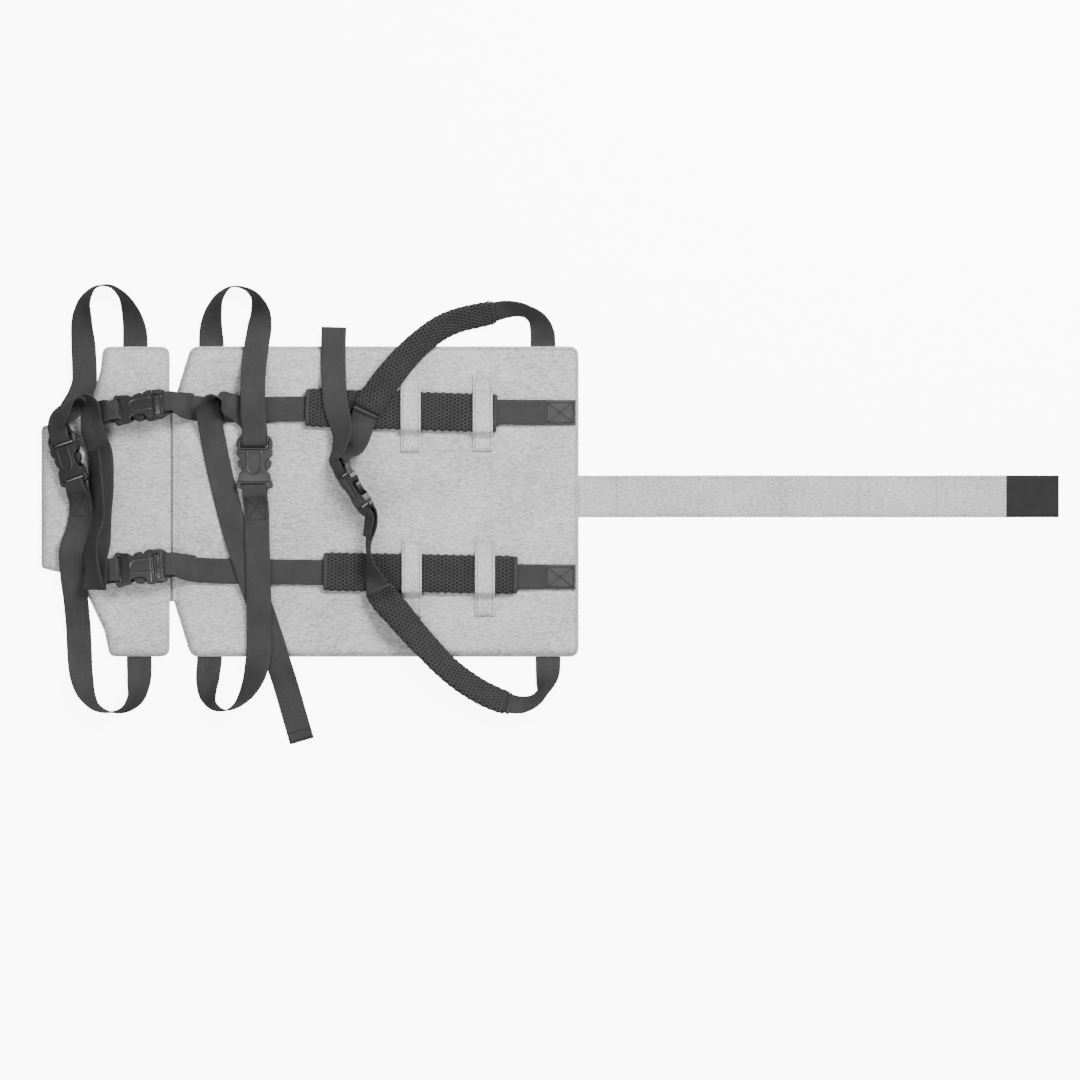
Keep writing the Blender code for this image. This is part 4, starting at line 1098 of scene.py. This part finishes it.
def plug_shape():
    half, reach = HALF_WIDTH, PLUG_REACH
    near, far = 2.2, FIRST_BAR + BAR_WIDTH
    frame_line = mirrored(((0.3, half - 1), (6, half), (reach - 4, half - 1.5),
                           (reach - 1.2, half - 4.5), (reach, half - 9)))
    high = BAR_HALF_THICK
    cheek = high + 1.9
    tools = [("UNION", block((0.3, 1.5 - half, -cheek), (near - 0.2, half - 1.5, cheek))),
             ("UNION", block((0.3, SLOT_HALF + 0.9, -cheek), (reach - 6, half - 1.0, cheek))),
             ("UNION", block((0.3, 1.0 - half, -cheek), (reach - 6, -SLOT_HALF - 0.9, cheek))),
             ("UNION", block((3 - CAVITY_DEPTH, -3.2, -1.4), (near - 0.6, 3.2, 1.4)))]
    for start in (near, far):
        tools.append(("DIFFERENCE", block((start, -SLOT_HALF, -9), (start + SLOT_WIDTH,
                                                                    SLOT_HALF, 9))))

    def change(points):
        u, v, w = points[:, 0].copy(), points[:, 1], points[:, 2]
        crown = 1 - 0.22 * np.clip(np.abs(v) / HALF_WIDTH, 0, 1) ** 3
        taper = 1 - 0.35 * np.clip((u - 4) / 9, 0, 1)
        thick = np.clip((np.abs(w) - 1.2) / 0.6, 0, 1)
        points[:, 2] = w * (1 - thick + thick * crown * taper)
    return shaped(moulded(cut(slab(frame_line, -high, high), tools)), change)


CATCH_AT = -9.9


def prong_shape(side):
    outline = [(-0.2, 11.0), (-1.2, 12.8), (CATCH_AT + 1, 12.9), (CATCH_AT - 0.6, 16.6),
               (-13, 17.2), (-17, 16.2), (-22.5, 11), (-23, 9), (-16, 8.6), (-1.2, 9.2)]
    line = [(u, side * v) for u, v in outline]
    ribs = [("DIFFERENCE", slab([(u + a, side * b) for a, b in
                                 ((-0.35, 15.6), (0.35, 15.6), (0.35, 18.5), (-0.35, 18.5))],
                                -4, 4)) for u in (-12.6, -14.2, -15.8)]
    return moulded(cut(slab(line, -2.4, 2.4), ribs), 0.4)


def buckle(tag, shapes):
    place = Matrix.Diagonal((MM, MM, MM, 1)) @ BUCKLES[tag]
    holder = "flap" if tag in ("top", "bottom", "flap_belt") else "panel"
    for kind, mesh in shapes.items():
        copy = mesh.copy()
        copy.transform(place)
        node = "%s_%s" % (kind, tag)
        thing = dress(node + "_moulding", copy, "plastic")
        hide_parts(node)
        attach(thing, holder if kind == "socket" else node)


SHAPES = {"socket": socket_shape(), "plug": plug_shape(), "prong_left": prong_shape(1),
          "prong_right": prong_shape(-1)}
for tag in BUCKLES:
    buckle(tag, SHAPES)


# ---------------------------------------------------------------- mesh pads

def oval(width, thick, count=40, power=3.2):
    """A full, soft-cornered section as evenly spaced points."""
    dense = []
    for k in range(720):
        turn = 2 * math.pi * k / 720
        c, s = math.cos(turn), math.sin(turn)
        dense.append((math.copysign(abs(c) ** (2 / power), c) * width / 2,
                      math.copysign(abs(s) ** (2 / power), s) * thick / 2))
    ring = dense + dense[:1]
    lengths = [math.dist(a, b) for a, b in zip(ring, ring[1:])]
    total, points, walked, k = sum(lengths), [], 0.0, 0
    for i in range(count):
        want = total * i / count
        while walked + lengths[k] < want:
            walked += lengths[k]
            k += 1
        t = (want - walked) / lengths[k]
        points.append((ring[k][0] + (ring[k + 1][0] - ring[k][0]) * t,
                       ring[k][1] + (ring[k + 1][1] - ring[k][1]) * t))
    return points, total


def pad_body(name, frames, width, thick, look, first, last, grow=0.0):
    """A closed pad along frames from one share of its length to another."""
    profile, total = oval(width + 2 * grow, thick + 2 * grow)
    stations = [i for i in range(len(frames))
                if first <= i / (len(frames) - 1) <= last]
    points = []
    for order, i in enumerate(stations):
        centre, across, face = frames[i]
        ends = min(order, len(stations) - 1 - order)
        draw = (0.86, 0.97, 1.0)[min(ends, 2)]
        for a, b in profile:
            points.append(centre + across * a * (1 + draw) / 2 + face * b * draw)
    thing = piece(name, points, tube_faces(len(stations), len(profile)), look)
    outward(thing.data)
    return thing


def net_places(frames, width, thick):
    """Opening centres over the whole pad, every second row moved by half a pitch."""
    total = oval(width, thick)[1]
    columns = 2 * round(total / NET_PITCH_ROUND / 2)
    profile = oval(width, thick, columns * 2)[0]
    runs = [0.0]
    for a, b in zip(frames, frames[1:]):
        runs.append(runs[-1] + (b[0] - a[0]).length)
    rows = int((runs[-1] - 2 * HEM) / NET_PITCH_ALONG)
    places, at = [], 0
    for row in range(rows + 1):
        want = HEM + row * NET_PITCH_ALONG
        while at < len(runs) - 2 and runs[at + 1] < want:
            at += 1
        t = (want - runs[at]) / (runs[at + 1] - runs[at])
        (c0, w0, f0), (c1, w1, f1) = frames[at], frames[at + 1]
        centre, across, face = c0.lerp(c1, t), w0.lerp(w1, t), f0.lerp(f1, t)
        travel = (c1 - c0).normalized()
        for k in range(columns):
            j = 2 * k + row % 2
            a, b = profile[j]
            (a0, b0), (a1, b1) = profile[j - 1], profile[(j + 1) % len(profile)]
            out = (across * (b1 - b0) - face * (a1 - a0)).normalized()
            if out.dot(across * a + face * b) < 0:
                out = -out
            places.append((centre + across * a + face * b, out, travel))
    return places


HEM, NET_SKIN = 4.5, 0.7
NET_PITCH_ROUND, NET_PITCH_ALONG = 3.7, 3.8
NET_RING_OUTER, NET_RING_INNER, NET_RING_HIGH = (2.18, 2.82), (1.3, 1.82), 0.5


def mesh_pad(node, frames, width, thick, body):
    core = pad_body(node + "_core", frames, width - 2 * NET_SKIN, thick - 2 * NET_SKIN,
                    "core", 0.004, 0.996)
    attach(core, body)
    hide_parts(node)
    net = lay_repeats(node + "_net", net_places(frames, width - 0.8, thick - 0.6),
                      ring_cell(NET_RING_OUTER, NET_RING_INNER, NET_RING_HIGH), "net")
    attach(net, body)
    share = HEM / sum((b[0] - a[0]).length for a, b in zip(frames, frames[1:]))
    for label, first, last in (("start", 0.0, share), ("end", 1 - share, 1.0)):
        hem = pad_body("%s_hem_%s" % (node, label), frames, width, thick, "net", first, last, 0.1)
        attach(hem, body)


def straight_frames(side):
    (x0, y0), (x1, y1) = PADS[side]
    high = (ON_PANEL + SLEEVE_TOP) / 2
    start, end = Vector((x0, y0, high)), Vector((x1, y1, high))
    travel = (end - start).normalized()
    across = Vector((-travel.y, travel.x, 0))
    count = 96
    return [(start.lerp(end, i / count), across, travel.cross(across)) for i in range(count + 1)]


for side in PADS:
    mesh_pad("pad_" + side, straight_frames(side), SLEEVE_WIDTH, SLEEVE_TOP - ON_PANEL,
             "pad_" + side)
for node, frames in CURVED.items():
    mesh_pad(node, frames, CURVED_PAD_WIDTH, CURVED_PAD_THICK, "panel")


# ---------------------------------------------------------------- fastening strip

SEAM_IN = 18  # from the strip's middle to each sewn line


def strip_run(name, start, end):
    """A stretch of the strip, pressed along each crease and faintly wavy along its edges."""
    half_across = (21, 20.7, 20, SEAM_IN + 0.4, SEAM_IN - 0.6, 16, 8)
    across = [-a for a in half_across] + [0] + list(reversed(half_across))
    count = max(12, round((end - start) / 1.5))
    xs = [start + (end - start) * i / count for i in range(count + 1)]
    points = []
    for face in (1, -1):
        for x in xs:
            crease = sum(math.exp(-((x - at) / 1.2) ** 2) for at in STRIP_FOLDS[1:])
            for a in across:
                rim = math.sqrt(max(0.0, 1 - max(0.0, (abs(a) - 19.8) / 1.2) ** 2))
                seam = 0.25 * math.exp(-((abs(a) - SEAM_IN) / 0.6) ** 2)
                puff = 0.25 * noise.noise(Vector((x * 0.03, a * 0.05, 1.7 * face)))
                wave = 0.35 * noise.noise(Vector((x * 0.02, math.copysign(4, a), 0.3)))
                half = (STRIP_THICK / 2 - 0.12 - 0.4 * crease - seam) * rim - 0.08
                half += puff * rim * 0.5
                points.append((x, STRIP_CENTRE_Y + a + wave * abs(a) / 21,
                               STRIP_THICK / 2 + face * max(half, 0.05)))
    thing = piece(name, points, sheet_faces(len(xs), len(across)), "cloth")
    outward(thing.data)
    return thing


def strip():
    """Each run goes from the middle of one panel to the middle of the next."""
    ends = list(STRIP_FOLDS) + [STRIP_END]
    middles = [(a + b) / 2 for a, b in zip(ends, ends[1:])]
    starts = [PANEL_RIGHT - 4] + middles
    folds = len(STRIP_FOLDS)
    bodies = ["panel"] + ["strip_%d" % (i + 1) for i in range(folds)]
    for i, (start, end) in enumerate(zip(starts, middles + [STRIP_END])):
        thing = strip_run("strip_cloth_%d" % (i + 1), start, end)
        if i:
            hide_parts("strip_%d" % i)
        if i < folds:
            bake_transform(thing)
        else:
            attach(thing, bodies[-1])
    clear, spacing = 3, 8
    for i, body in enumerate(bodies[1:]):
        stop = ends[i + 1] - (clear if i < folds - 1 else PATCH_LENGTH)
        lines = []
        for a in (-SEAM_IN, SEAM_IN):
            line, x = [], ends[i] + clear
            while x < stop:
                line.append((Vector((x, STRIP_CENTRE_Y + a, STRIP_THICK - 0.25)),
                             Vector((0, 0, 1))))
                x += spacing
            lines.append(line)
        thread = lay_repeats("strip_stitching_%d" % (i + 1), stitches_on(lines),
                             stitch_shape(), "seam_shade_thread")
        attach(thread, body)


def hook_patch():
    """Hook tape: narrow ribs across a thin base."""
    base, pitch, steps_per_rib, rows = STRIP_THICK + 0.3, 1.25, 6, 15
    count = int(PATCH_LENGTH / pitch) * steps_per_rib
    points = []
    for face in (0, 1):
        for i in range(count + 1):
            x = STRIP_END - PATCH_LENGTH + PATCH_LENGTH * i / count
            wave = 0.5 - 0.5 * math.cos(2 * math.pi * i / steps_per_rib)
            for j in range(rows):
                y = STRIP_CENTRE_Y + STRIP_WIDTH * (j / (rows - 1) - 0.5)
                points.append((x, y, base + (0.7 + 0.7 * wave if face == 0 else 0)))
    thing = piece("hook_tape_patch", points, sheet_faces(count + 1, rows), "hook")
    outward(thing.data)
    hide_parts("hook_patch")
    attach(thing, "strip_6")


strip()
hook_patch()


# ---------------------------------------------------------------- floor, light and camera

ROOM, KEY, FLOOR_GLOW = 0.5, 92.0, 8.0
FLOOR_REACH, FLOOR_HIGH = 6, -0.0004
AIM = Vector((0.16, 0, 0))
EYE_X, EYE_Y, EYE_HIGH, HALF_VIEW = 0.1645, -0.0385, 6.0, 0.54


def studio():
    mesh = bpy.data.meshes.new("floor")
    mesh.from_pydata([(x * FLOOR_REACH, y * FLOOR_REACH, FLOOR_HIGH)
                      for x, y in ((-1, -1), (1, -1), (1, 1), (-1, 1))], [], [(0, 1, 2, 3)])
    floor = placed("floor", mesh)
    pale = bpy.data.materials.new("pale_floor")
    pale.use_nodes = True
    shader = pale.node_tree.nodes["Principled BSDF"]
    shader.inputs["Base Color"].default_value = (0.9, 0.9, 0.9, 1)
    shader.inputs["Roughness"].default_value = 0.95
    shader.inputs["Emission Color"].default_value = (1, 1, 1, 1)
    shader.inputs["Emission Strength"].default_value = FLOOR_GLOW
    mesh.materials.append(pale)
    floor.visible_diffuse = floor.visible_glossy = False
    world = bpy.data.worlds.new("soft_room")
    world.use_nodes = True
    world.node_tree.nodes["Background"].inputs["Color"].default_value = (1, 1, 1, 1)
    world.node_tree.nodes["Background"].inputs["Strength"].default_value = ROOM
    bpy.context.scene.world = world
    for name, spot, power, size in (("key", (0.9, 1.1, 1.7), KEY, 0.8),
                                    ("fill", (-0.9, -0.8, 1.9), KEY * 0.4, 1.6)):
        lamp = bpy.data.lights.new(name, "AREA")
        lamp.energy, lamp.size = power, size
        thing = placed(name, lamp)
        thing.location = spot
        thing.rotation_euler = (AIM - Vector(spot)).to_track_quat("-Z", "Y").to_euler()
    lens = bpy.data.cameras.new("overhead")
    lens.sensor_width, lens.lens = 36, 18 / (HALF_VIEW / EYE_HIGH)
    eye = placed("overhead", lens)
    eye.location = (EYE_X, EYE_Y, EYE_HIGH + PANEL_TOP * MM)
    bpy.context.scene.camera = eye


studio()
